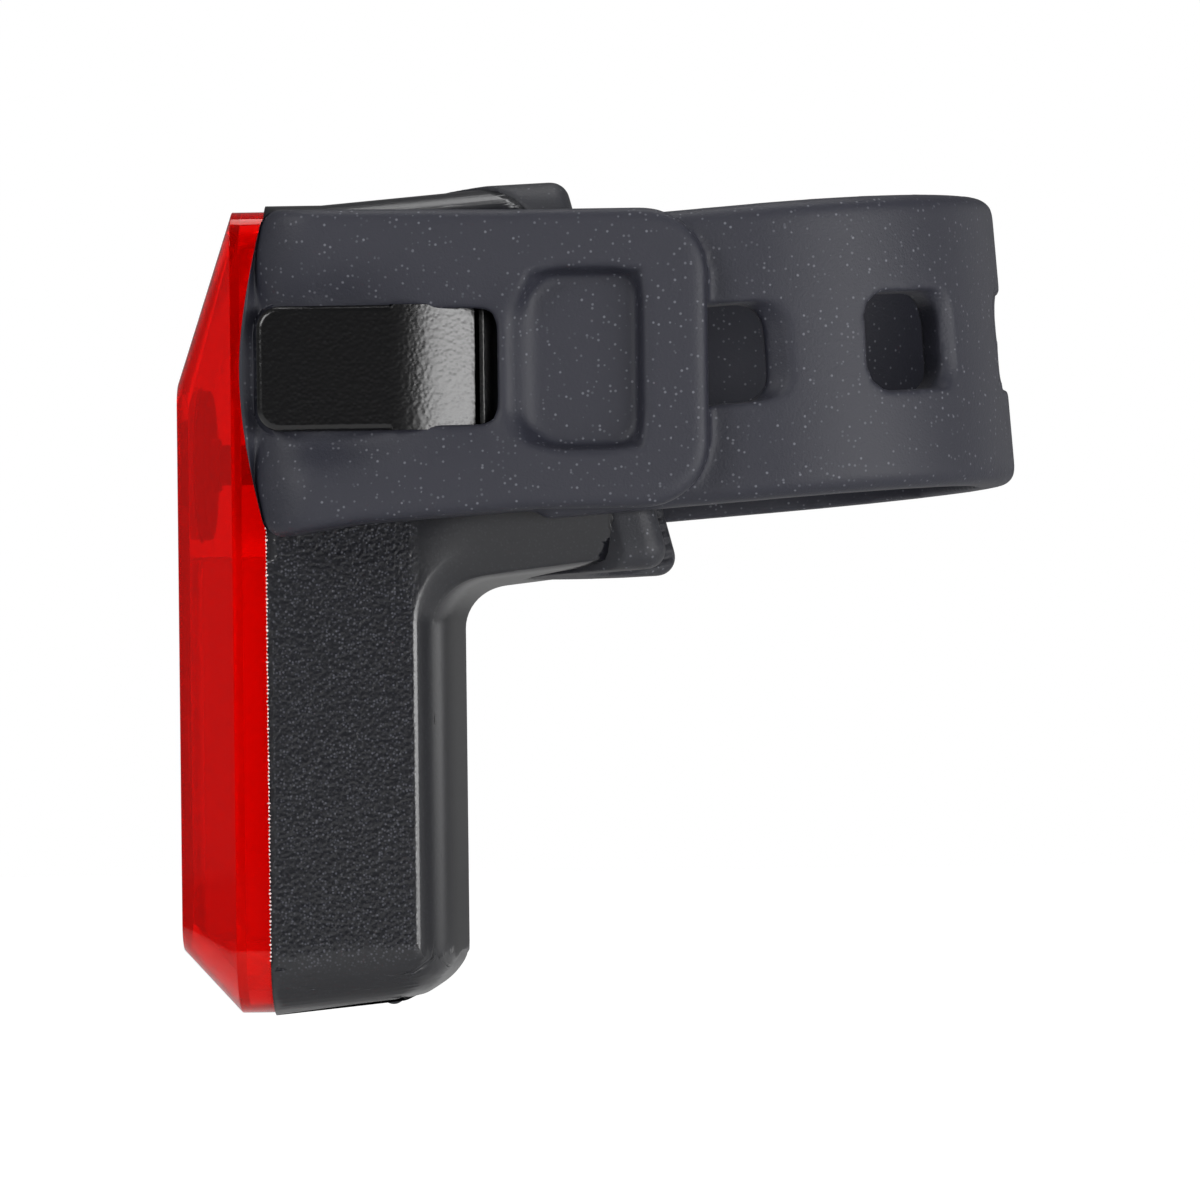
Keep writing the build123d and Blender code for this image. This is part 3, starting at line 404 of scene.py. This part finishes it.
# %% Inner finishes
reflector = plain_material("white_abs", "#cfcfcf", 0.3)
board_green = plain_material("solder_mask", "#1d5a33", 0.35)
led_resin = plain_material("phosphor_resin", "#e3c24a", 0.35)
chip_black = plain_material("moulded_epoxy", "#1a1a1b", 0.5)
steel = plain_material("zinc_plated_steel", "#b9bbbf", 0.3, Metallic=1.0)
foil = plain_material("laminated_foil", "#c4c6cb", 0.35, Metallic=1.0)
foam_grey = plain_material("closed_cell_foam", "#4a4a4a", 0.9)
lead_red = plain_material("wire_insulation", "#9c1414", 0.45)
bezel_black = plain_material("black_abs", "#0d0d0e", 0.35)

finishes = {
    "sensor_window": window_red,
    "optic_plate": clear_optic,
    "button_bezel": bezel_black,
    "reflector_tray": reflector,
    "led_board": board_green,
    "cell_board": board_green,
    "leds": led_resin,
    "status_led": led_resin,
    "light_sensor": chip_black,
    "controller_chip": chip_black,
    "motion_sensor": chip_black,
    "switch_body": chip_black,
    "switch_plunger": chip_black,
    "board_screws": steel,
    "hook_screws": steel,
    "usb_socket": steel,
    "usb_tongue": chip_black,
    "battery": foil,
    "battery_foam": foam_grey,
    "battery_leads": lead_red,
}
for node, material in finishes.items():
    dress(node, material)
print("nodes with a finish:", len(finishes), "of", len(nodes))

# %% [markdown]
# ## Soft pieces
#
# Rubber has no crisp edges. Each soft solid is copied, rebuilt as an even mesh of small faces, and
# smoothed by moving every point towards the mean of its neighbours. More passes give rounder
# edges, and the share that a point moves can differ from place to place. The copy then stands for
# the CAD solid, which is hidden.

# %% Even mesh and smoothing
def even_mesh(name, node, face_mm, prepare=None):
    """A closed mesh of even small faces in the shape of a CAD solid."""
    mesh = nodes[node].data.copy()
    mesh.name = name
    mesh.materials.clear()
    shell = bmesh.new()
    shell.from_mesh(mesh)
    bmesh.ops.remove_doubles(shell, verts=shell.verts, dist=0.002 * mm)
    if prepare:
        prepare(shell)
    shell.to_mesh(mesh)
    shell.free()
    piece = bpy.data.objects.new(name, mesh)
    bpy.context.scene.collection.objects.link(piece)
    remesh = piece.modifiers.new("even_faces", "REMESH")
    remesh.mode = "VOXEL"
    remesh.voxel_size = face_mm * mm
    shaped = piece.evaluated_get(bpy.context.evaluated_depsgraph_get())
    even = bpy.data.meshes.new_from_object(shaped)
    even.name = name
    piece.modifiers.remove(remesh)
    piece.data = even
    return piece


def read_points(mesh):
    """The mesh's points in millimetres, and the pairs of points that its edges join."""
    points = np.empty(3 * len(mesh.vertices))
    mesh.vertices.foreach_get("co", points)
    pairs = np.empty(2 * len(mesh.edges), dtype=int)
    mesh.edges.foreach_get("vertices", pairs)
    return points.reshape(-1, 3) / mm, pairs.reshape(-1, 2)


def write_points(mesh, points):
    """Puts moved points back and shades the faces smooth."""
    mesh.vertices.foreach_set("co", (points * mm).ravel())
    mesh.shade_smooth()
    mesh.update()


def smooth(points, pairs, passes, share=0.5):
    """Moves each point a share of the way to the mean of its neighbours, several times."""
    ends = np.concatenate([pairs[:, 0], pairs[:, 1]])
    others = np.concatenate([pairs[:, 1], pairs[:, 0]])
    degree = np.bincount(ends, minlength=len(points))[:, None]
    for _ in range(passes):
        sums = [np.bincount(ends, weights=points[others, axis], minlength=len(points)) for axis in range(3)]
        points = points + share * (np.stack(sums, axis=1) / degree - points)
    return points


def soft_step(low, high, values):
    """0 below one bound and 1 above the other, with a smooth rise between them."""
    share = np.clip((values - low) / (high - low), 0, 1)
    return share * share * (3 - 2 * share)


def soft_piece(name, node, body, material, face_mm, passes, shape=None, prepare=None):
    """A smoothed copy of a soft solid that takes its place, optionally shaped between two passes."""
    piece = even_mesh(name, node, face_mm, prepare)
    points, pairs = read_points(piece.data)
    points = smooth(points, pairs, passes)
    if shape:
        points = shape(points, pairs)
    write_points(piece.data, points)
    piece.data.materials.append(material)
    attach(piece, body)
    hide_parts(node)
    print(name, "faces:", len(piece.data.polygons))
    return piece


# %% [markdown]
# ## The strap
#
# Stretched over the hook, the strap's head rolls away towards the lens at its end, dips beside the
# hook where the rubber is pulled sideways, and hugs the hook with a soft rim. The dips are bell
# curves, added up as a depth at each place and pushed in from the outer face.

# %% Strap
hook_low, hook_high = (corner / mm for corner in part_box("near_hook"))
hook_middle = (hook_low + hook_high) / 2
hook_half = (hook_high - hook_low) / 2
hook_level = hook_middle.z
head_face = -cad_low.y / mm
head_floor = head_face - 2.5
roll_start = -28.5
roll_end = -34.8
roll_depth = 2.6
rim_share = 0.5
rim_width = 5.0
dip_depth = 1.4
dip_gap = 2.0
dip_width = 1.5
dip_middle = -28.0
dip_length = 5.0
slit_outer = 18.95
slit_opening = 0.35
seat_base = 15.45
seat_base_gap = 0.5
seat_widening = tan(radians(12))
seat_corner = 1.6
seat_gap = 0.25
seat_reach = 3.2
lip_drop = 0.45
lip_width = 0.9
thumb_middle = (-8.5, -1.6)
thumb_half = (4.4, 7.0)
thumb_extra = 0.9


def open_slit(shell):
    """Widens the slit between the pull tab and the band, so that the even mesh keeps it open."""
    for point in shell.verts:
        if abs(-point.co.y / mm - slit_outer) < 0.02 and point.co.x / mm > hook_high.x:
            point.co.y -= slit_opening * mm


def head_depth(x, z):
    """How far the outer face of a head lies below its highest level, in millimetres."""
    above_hook = z - hook_level
    roll = soft_step(roll_start, roll_end, x) ** 1.6
    rim = 1 - rim_share * np.exp(-(above_hook / rim_width) ** 2)
    along = np.exp(-((x - dip_middle) / dip_length) ** 2)
    beside = np.abs(above_hook) - hook_half.z - dip_gap
    return roll_depth * roll * rim + dip_depth * along * np.exp(-(beside / dip_width) ** 2)


def from_hook(x, z):
    """Distance from a hook's outline with round corners, and the direction away from it."""
    away_x = x - hook_middle.x
    away_z = z - hook_middle.z
    past_x = np.maximum(np.abs(away_x) - hook_half.x + seat_corner, 0)
    past_z = np.maximum(np.abs(away_z) - hook_half.z + seat_corner, 0)
    reach = np.hypot(past_x, past_z) + 1e-9
    return reach - seat_corner, np.sign(away_x) * past_x / reach, np.sign(away_z) * past_z / reach


def shape_strap(points, pairs):
    """Rolls and dips both heads, draws each seat close round its hook and deepens the thumb recess."""
    x, y, z = points.T
    outside = soft_step(head_floor, head_face - 0.6, np.abs(y))
    on_head = 1 - soft_step(hook_high.x - 1, hook_high.x + 3, x)
    points = points.copy()
    points[:, 1] -= np.sign(y) * head_depth(x, z) * outside * on_head

    wall = seat_base_gap + (np.abs(y) - seat_base) * seat_widening
    distance, away_x, away_z = from_hook(x, z)
    hold = 1 - soft_step(0, seat_reach, distance - wall)
    pull = (wall - seat_gap) * hold * outside * (np.abs(y) > seat_base + 1)
    pull[distance < -0.1] = 0
    points[:, 0] -= away_x * pull
    points[:, 2] -= away_z * pull
    lip = lip_drop * np.exp(-(np.maximum(distance - wall, 0) / lip_width) ** 2) * outside
    lip[distance < -0.1] = 0
    points[:, 1] -= np.sign(y) * lip

    inside_x = thumb_half[0] - np.abs(x - thumb_middle[0])
    inside_z = thumb_half[1] - np.abs(z - thumb_middle[1])
    recess = soft_step(0.1, 0.7, np.minimum(inside_x, inside_z)) * (y < -slit_outer - 0.9)
    points[:, 1] += thumb_extra * recess
    near_rim = (1 - soft_step(0.9, 1.8, np.abs(distance - wall))) * outside
    return smooth(points, pairs, 10, 0.5 * near_rim[:, None])


strap = soft_piece(
    "strap_rubber", "strap", "light", strap_rubber, 0.3, 4, shape_strap, open_slit
)
pad = soft_piece("pad_rubber", "saddle_pad", "light", pad_rubber, 0.22, 1)
cover = soft_piece("cover_rubber", "port_cover", "port_cover", pad_rubber, 0.14, 3)
cap = soft_piece("cap_rubber", "button_cap", "button", pad_rubber, 0.14, 3)

# %% [markdown]
# ## The housing's round back
#
# The real back rolls away from a crisp edge in one curve, and along the arm that edge melts into
# the side. The solid has a plain bevel there. So its copy is cut into narrow strips, and each point
# near the back is moved from the bevel's profile to the round one. The profile is followed down
# the back, round the inner corner and along the arm.

# %% Housing
spine_x = -24.2
spine_round = 8.2
arm_turn = radians(6.6)
spine_level = -11.413
edge_depth = 2.0
bevel_depth = 2.3
bevel_width = 1.0
back_depth = 4.7
edge_tilt = radians(42)
edge_round = 0.6
edge_start = 1.9
rolled_width = 1.6
arm_melt_start = -1.0
arm_crease_width = 1.1
half_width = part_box("rear_housing")[1].y / mm
turn_x = spine_x + spine_round
turn_z = spine_level + turn_x * tan(arm_turn) - spine_round / cos(arm_turn)
strip_edges = (
    0.015, 0.03, 0.05, 0.08, 0.11, 0.15, 0.2, 0.27, 0.36, 0.5, 0.65, 0.8, 1.0,
    1.4, 2.0, 2.8, 4.0, 5.5, 7.5, 10.0, 12.6,
)
edge_cuts = (0.8, 1.4, 1.7, 1.9, 1.93, 1.96)
longest_edge = 1.2
corner_level = -46.8


def along_spine(x, z):
    """Depth below the spine, the direction outwards, and 0 on the back to 1 on the arm."""
    from_x, from_z = x - turn_x, z - turn_z
    reach = np.hypot(from_x, from_z)
    on_arm = from_x * cos(arm_turn) + from_z * sin(arm_turn) > 0
    on_back = (from_z < 0) & ~on_arm
    depth = np.where(
        on_arm, spine_round - (from_z * cos(arm_turn) - from_x * sin(arm_turn)),
        np.where(on_back, spine_round + from_x, spine_round - reach),
    )
    out_x = np.where(on_arm, sin(arm_turn), np.where(on_back, 1.0, -from_x / reach))
    out_z = np.where(on_arm, -cos(arm_turn), np.where(on_back, 0.0, -from_z / reach))
    turned = np.arctan2(from_z, -from_x) / (pi / 2 - arm_turn)
    share = np.where(on_arm, 1.0, np.where(on_back, 0.0, np.clip(turned, 0, 1)))
    return depth, out_x, out_z, share * share * (3 - 2 * share)


def rolled_depth(inset):
    """The back's round profile: its depth at an inset from the side face."""
    start_inset = edge_round * (1 - cos(edge_tilt))
    start_depth = edge_round * sin(edge_tilt)
    rise = back_depth - edge_start - start_depth
    run = rise * tan(edge_tilt)
    on_edge = np.sqrt(np.clip(edge_round ** 2 - (edge_round - inset) ** 2, 0, None))
    beyond = start_depth + rise * (1 - np.exp(-(inset - start_inset) / run))
    return edge_start + np.where(inset < start_inset, on_edge, beyond)


def cut_strips(shell, faces, place, normal):
    """Cuts some faces along a plane, given in millimetres."""
    edges = {edge for face in faces for edge in face.edges}
    verts = {vert for face in faces for vert in face.verts}
    bmesh.ops.bisect_plane(
        shell, geom=[*verts, *edges, *faces], dist=1e-7,
        plane_co=Vector(place) * mm, plane_no=Vector(normal),
    )


def flat_sides(shell, above):
    """The faces of the flat sides whose middle is above a level."""
    return [
        face for face in shell.faces
        if abs(face.normal.y) > 0.99 and abs(face.calc_center_median().y) / mm > half_width - 0.1
        and face.calc_center_median().z / mm > above
    ]


def strip_housing(shell):
    """Cuts the back across its width, and the sides of the arm along and across it."""
    for inset in strip_edges:
        for side in (-1, 1):
            faces = [f for f in shell.faces if f.calc_center_median().x / mm > spine_x - 1]
            cut_strips(shell, faces, (0, side * (half_width - inset), 0), (0, 1, 0))
    columns = [spine_x - 1.5 + 0.5 * step for step in range(8)] + [-20.0 + step for step in range(16)]
    rows = [-1.5 + 0.5 * step for step in range(7)]
    cut_strips(shell, flat_sides(shell, -1000), (0, 0, turn_z), (0, 0, 1))
    for column in columns:
        cut_strips(shell, flat_sides(shell, turn_z), (column, 0, 0), (1, 0, 0))
    for row in rows:
        level = spine_level - row / cos(arm_turn)
        cut_strips(shell, flat_sides(shell, turn_z), (0, 0, level), (-sin(arm_turn), 0, cos(arm_turn)))
    for cut in edge_cuts:
        below = [face for face in flat_sides(shell, -1000) if face.calc_center_median().z / mm < turn_z]
        cut_strips(shell, below, (spine_x + cut, 0, 0), (1, 0, 0))
    bmesh.ops.triangulate(shell, faces=shell.faces)
    split_long(shell)


def split_long(shell):
    """Halves long edges of the outer skin, so that no long thin triangle is left to bend."""
    for _ in range(6):
        long_edges = [
            edge for edge in shell.edges
            if edge.calc_length() > longest_edge * mm
            and (max(abs(vert.co.y) for vert in edge.verts) / mm > half_width - 2.5
                 or max(vert.co.x for vert in edge.verts) / mm > spine_x + 2)
        ]
        bmesh.ops.subdivide_edges(shell, edges=long_edges, cuts=1)
        bmesh.ops.triangulate(shell, faces=shell.faces)


def roll_back(points):
    """Moves the points on the bevelled back to the round profile."""
    x, y, z = points.T
    depth, out_x, out_z, on_arm = along_spine(x, z)
    inset = half_width - np.abs(y)
    crown = back_depth - 0.4 * (1 - inset / half_width) ** 2
    on_side = (inset < 0.02) & (depth > arm_melt_start) & (depth < edge_depth + 0.1)
    slack = np.where(depth > 3.4, 0.5, 0.1)
    on_bevel = (np.abs(inset - (depth - edge_depth) * bevel_width / bevel_depth) < slack) & (depth > 1.8)
    on_crown = (inset > 0.8) & (np.abs(depth - crown) < np.where(inset < 2.5, 0.5, 0.12))
    follows = on_side | on_bevel | on_crown

    beyond = np.clip(inset - bevel_width, 0, None)
    place = np.where(inset > bevel_width, edge_depth + bevel_depth, np.clip(depth, None, edge_depth + bevel_depth))
    rolled = np.clip((place - edge_start) / (edge_depth + bevel_depth - edge_start), 0, 1)
    stretch = (half_width - rolled_width) / (half_width - bevel_width)
    back_inset = rolled_width * rolled ** 1.3 + beyond * stretch
    back_level = np.where(place <= edge_start, depth, rolled_depth(back_inset))

    melted = np.clip((place - arm_melt_start) / (edge_depth + bevel_depth - arm_melt_start), 0, 1)
    arm_inset = arm_crease_width * melted ** 1.8 + beyond
    under = back_depth - (edge_depth + bevel_depth)
    arm_level = np.where(beyond > 0, place + under * (1 - np.exp(-beyond / 0.8)), depth)

    new_inset = back_inset + on_arm * (arm_inset - back_inset)
    new_depth = back_level + on_arm * (arm_level - back_level)
    poking = ~follows & (on_arm == 0) & (inset >= 0) & (depth > rolled_depth(np.abs(inset))) & (depth > edge_depth)
    new_inset = np.where(follows, new_inset, inset)
    new_depth = np.where(follows, new_depth, np.where(poking, rolled_depth(np.abs(inset)), depth))
    moved = points.copy()
    moved[:, 0] += out_x * (new_depth - depth)
    moved[:, 2] += out_z * (new_depth - depth)
    moved[:, 1] = np.sign(y) * (half_width - new_inset)
    return np.where((follows | poking)[:, None], moved, points)


def hard_copy(name, node, prepare):
    """A merged copy of a rigid node, cut or moved a little before its faces are shaded."""
    mesh = nodes[node].data.copy()
    mesh.name = name
    mesh.materials.clear()
    shell = bmesh.new()
    shell.from_mesh(mesh)
    bmesh.ops.remove_doubles(shell, verts=shell.verts, dist=0.002 * mm)
    prepare(shell)
    shell.to_mesh(mesh)
    shell.free()
    piece = bpy.data.objects.new(name, mesh)
    bpy.context.scene.collection.objects.link(piece)
    return piece


def finish_hard(piece, node, material, sharp_degrees):
    """Smooth faces with creases where they meet steeply, a finish, and the node's place."""
    piece.data.shade_smooth()
    piece.data.set_sharp_from_angle(angle=radians(sharp_degrees))
    weighting = piece.modifiers.new("even_shading", "WEIGHTED_NORMAL")
    weighting.keep_sharp = True
    piece.data.materials.append(material)
    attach(piece, "light")
    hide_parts(node)
    print(piece.name, "faces:", len(piece.data.polygons))


housing = hard_copy("housing_shell", "rear_housing", strip_housing)
points, pairs = read_points(housing.data)
points = roll_back(points)
behind = along_spine(points[:, 0], points[:, 2])[0]
in_corner = soft_step(0.4, 2.4, behind) * soft_step(corner_level, corner_level - 1.5, points[:, 2])
points = smooth(points, pairs, 30, 0.5 * in_corner[:, None])
write_points(housing.data, points)
finish_hard(housing, "rear_housing", housing_plastic, 50)

# %% [markdown]
# ## The lens
#
# A moulded facet's edge is never quite sharp, and its narrow round is what catches the light as a
# thin bright line. The copy's flat triangles are joined, and a Bevel modifier rounds the edges.

# %% Lens
facet_round = 0.12


def join_flats(shell):
    """Joins triangles that lie in one plane, so that only real edges are left to round."""
    bmesh.ops.dissolve_limit(
        shell, angle_limit=radians(1), verts=shell.verts, edges=shell.edges, delimit={"NORMAL"}
    )


lens = hard_copy("lens_shell", "lens", join_flats)
rounding = lens.modifiers.new("facet_rounds", "BEVEL")
rounding.width = facet_round * mm
rounding.segments = 2
rounding.angle_limit = radians(14)
rounding.limit_method = "ANGLE"
finish_hard(lens, "lens", lens_red, 40)

# %% [markdown]
# ## Hooks
#
# Behind the hook's plate its foot fills the strap's hole almost to the top. The copy's foot is
# raised to that level, with a narrow groove left between it and the plate.

# %% Hooks
shell_x = -17.004
flat_x = shell_x - 6.4
plate_face = 20.9
foot_face = 17.1
plate_fall = 1.7
fall_power = 2.0
groove = 0.3
wall_run = 0.06
foot_raise = 2.1
foot_fall = 0.9
plate_cuts = 12
foot_cuts = 5


def raise_foot(shell):
    """Keeps the plate's curve shallow up to its end, and lifts the foot's face beyond the groove."""
    cuts = [flat_x + (shell_x - flat_x) * cut / plate_cuts for cut in range(plate_cuts)]
    foot_start = shell_x + groove + wall_run
    foot_run = hook_high.x - foot_start
    cuts += [foot_start + foot_run * cut / foot_cuts for cut in range(foot_cuts)]
    for cut in [*cuts, shell_x + wall_run, shell_x + groove]:
        cut_strips(shell, list(shell.faces), (cut, 0, 0), (1, 0, 0))
    for point in shell.verts:
        x, y = point.co.x / mm, abs(point.co.y) / mm
        if y > foot_face - 0.05 and flat_x < x < shell_x + 0.02:
            fall = plate_fall * ((x - flat_x) / (shell_x - flat_x)) ** fall_power
            point.co.y = (1 if point.co.y > 0 else -1) * (plate_face - fall) * mm
        elif y > foot_face - 1.0 and x > shell_x + groove + wall_run / 2:
            raised = foot_raise - foot_fall * (x - foot_start) / foot_run
            point.co.y += (1 if point.co.y > 0 else -1) * raised * mm
    bmesh.ops.triangulate(shell, faces=shell.faces)


for side in ("near", "far"):
    hook = hard_copy(side + "_hook_moulding", side + "_hook", raise_foot)
    finish_hard(hook, side + "_hook", hook_plastic, 34)

# %% [markdown]
# ## Weld flash
#
# The lens is welded to the housing by vibration, which squeezes out a ragged pale bead along the
# seam. Geometry Nodes set small lumps along the seam's line: the line is resampled, and each point
# gets a ball of a random size and turn.

# %% Weld flash
bead_spacing = 0.3
bead_radius = 0.1
bead_sink = 0.03
bead_low = -47.0


def flash_tree(material):
    """Lumps along a line, with their spacing and size as inputs."""
    tree = bpy.data.node_groups.new("weld_flash", "GeometryNodeTree")
    face = tree.interface
    face.new_socket("Line", in_out="INPUT", socket_type="NodeSocketGeometry")
    face.new_socket("Spacing", in_out="INPUT", socket_type="NodeSocketFloat")
    face.new_socket("Radius", in_out="INPUT", socket_type="NodeSocketFloat")
    face.new_socket("Lumps", in_out="OUTPUT", socket_type="NodeSocketGeometry")
    given = add_node(tree, "NodeGroupInput")
    curve = add_node(tree, "GeometryNodeMeshToCurve", {"Mesh": given.outputs["Line"]})
    dotted = add_node(tree, "GeometryNodeResampleCurve", {
        "Curve": curve.outputs[0], "Length": given.outputs["Spacing"],
    }, mode="LENGTH")
    lump = add_node(tree, "GeometryNodeMeshIcoSphere", {
        "Radius": given.outputs["Radius"], "Subdivisions": 1,
    })
    size = add_node(tree, "FunctionNodeRandomValue", {
        0: (0.5, 0.4, 0.8), 1: (1.3, 1.0, 1.7), "Seed": 3,
    }, data_type="FLOAT_VECTOR")
    turn = add_node(tree, "FunctionNodeRandomValue", {
        0: (0.0, 0.0, 0.0), 1: (pi, pi, pi), "Seed": 5,
    }, data_type="FLOAT_VECTOR")
    placed = add_node(tree, "GeometryNodeInstanceOnPoints", {
        "Points": dotted.outputs[0], "Instance": lump.outputs["Mesh"],
        "Rotation": turn.outputs[0], "Scale": size.outputs[0],
    })
    real = add_node(tree, "GeometryNodeRealizeInstances", {"Geometry": placed.outputs[0]})
    painted = add_node(tree, "GeometryNodeSetMaterial", {
        "Geometry": real.outputs[0], "Material": material,
    })
    result = add_node(tree, "NodeGroupOutput")
    tree.links.new(painted.outputs[0], result.inputs["Lumps"])
    return tree


def grow(name, line_points, line_edges, tree, inputs):
    """Runs a tree on a line of points and keeps the result as a plain mesh."""
    line = bpy.data.meshes.new(name)
    line.from_pydata([Vector(point) * mm for point in line_points], line_edges, [])
    piece = bpy.data.objects.new(name, line)
    bpy.context.scene.collection.objects.link(piece)
    modifier = piece.modifiers.new(name, "NODES")
    modifier.node_group = tree
    for item in tree.interface.items_tree:
        if item.item_type == "SOCKET" and item.name in inputs:
            modifier[item.identifier] = inputs[item.name]
    grown = bpy.data.meshes.new_from_object(piece.evaluated_get(bpy.context.evaluated_depsgraph_get()))
    grown.name = name
    piece.modifiers.remove(modifier)
    piece.data = grown
    grown.shade_smooth()
    return piece


frosted = plain_material("frosted_polycarbonate", "#e6cfcd", 0.25, IOR=1.58)
seam_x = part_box("rear_housing")[0].x / mm
seam = points[(np.abs(points[:, 0] - seam_x) < 0.01) & (np.abs(np.abs(points[:, 1]) - half_width) < 0.01)]
seam_high = seam[:, 2].max()
side_y = half_width - bead_sink
line = [(seam_x, -side_y, seam_high), (seam_x, -side_y, bead_low),
        (seam_x, side_y, seam_high), (seam_x, side_y, bead_low)]
flash = grow("weld_flash", line, [(0, 1), (2, 3)], flash_tree(frosted),
             {"Spacing": bead_spacing * mm, "Radius": bead_radius * mm})
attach(flash, "light")
print("weld flash faces:", len(flash.data.polygons))
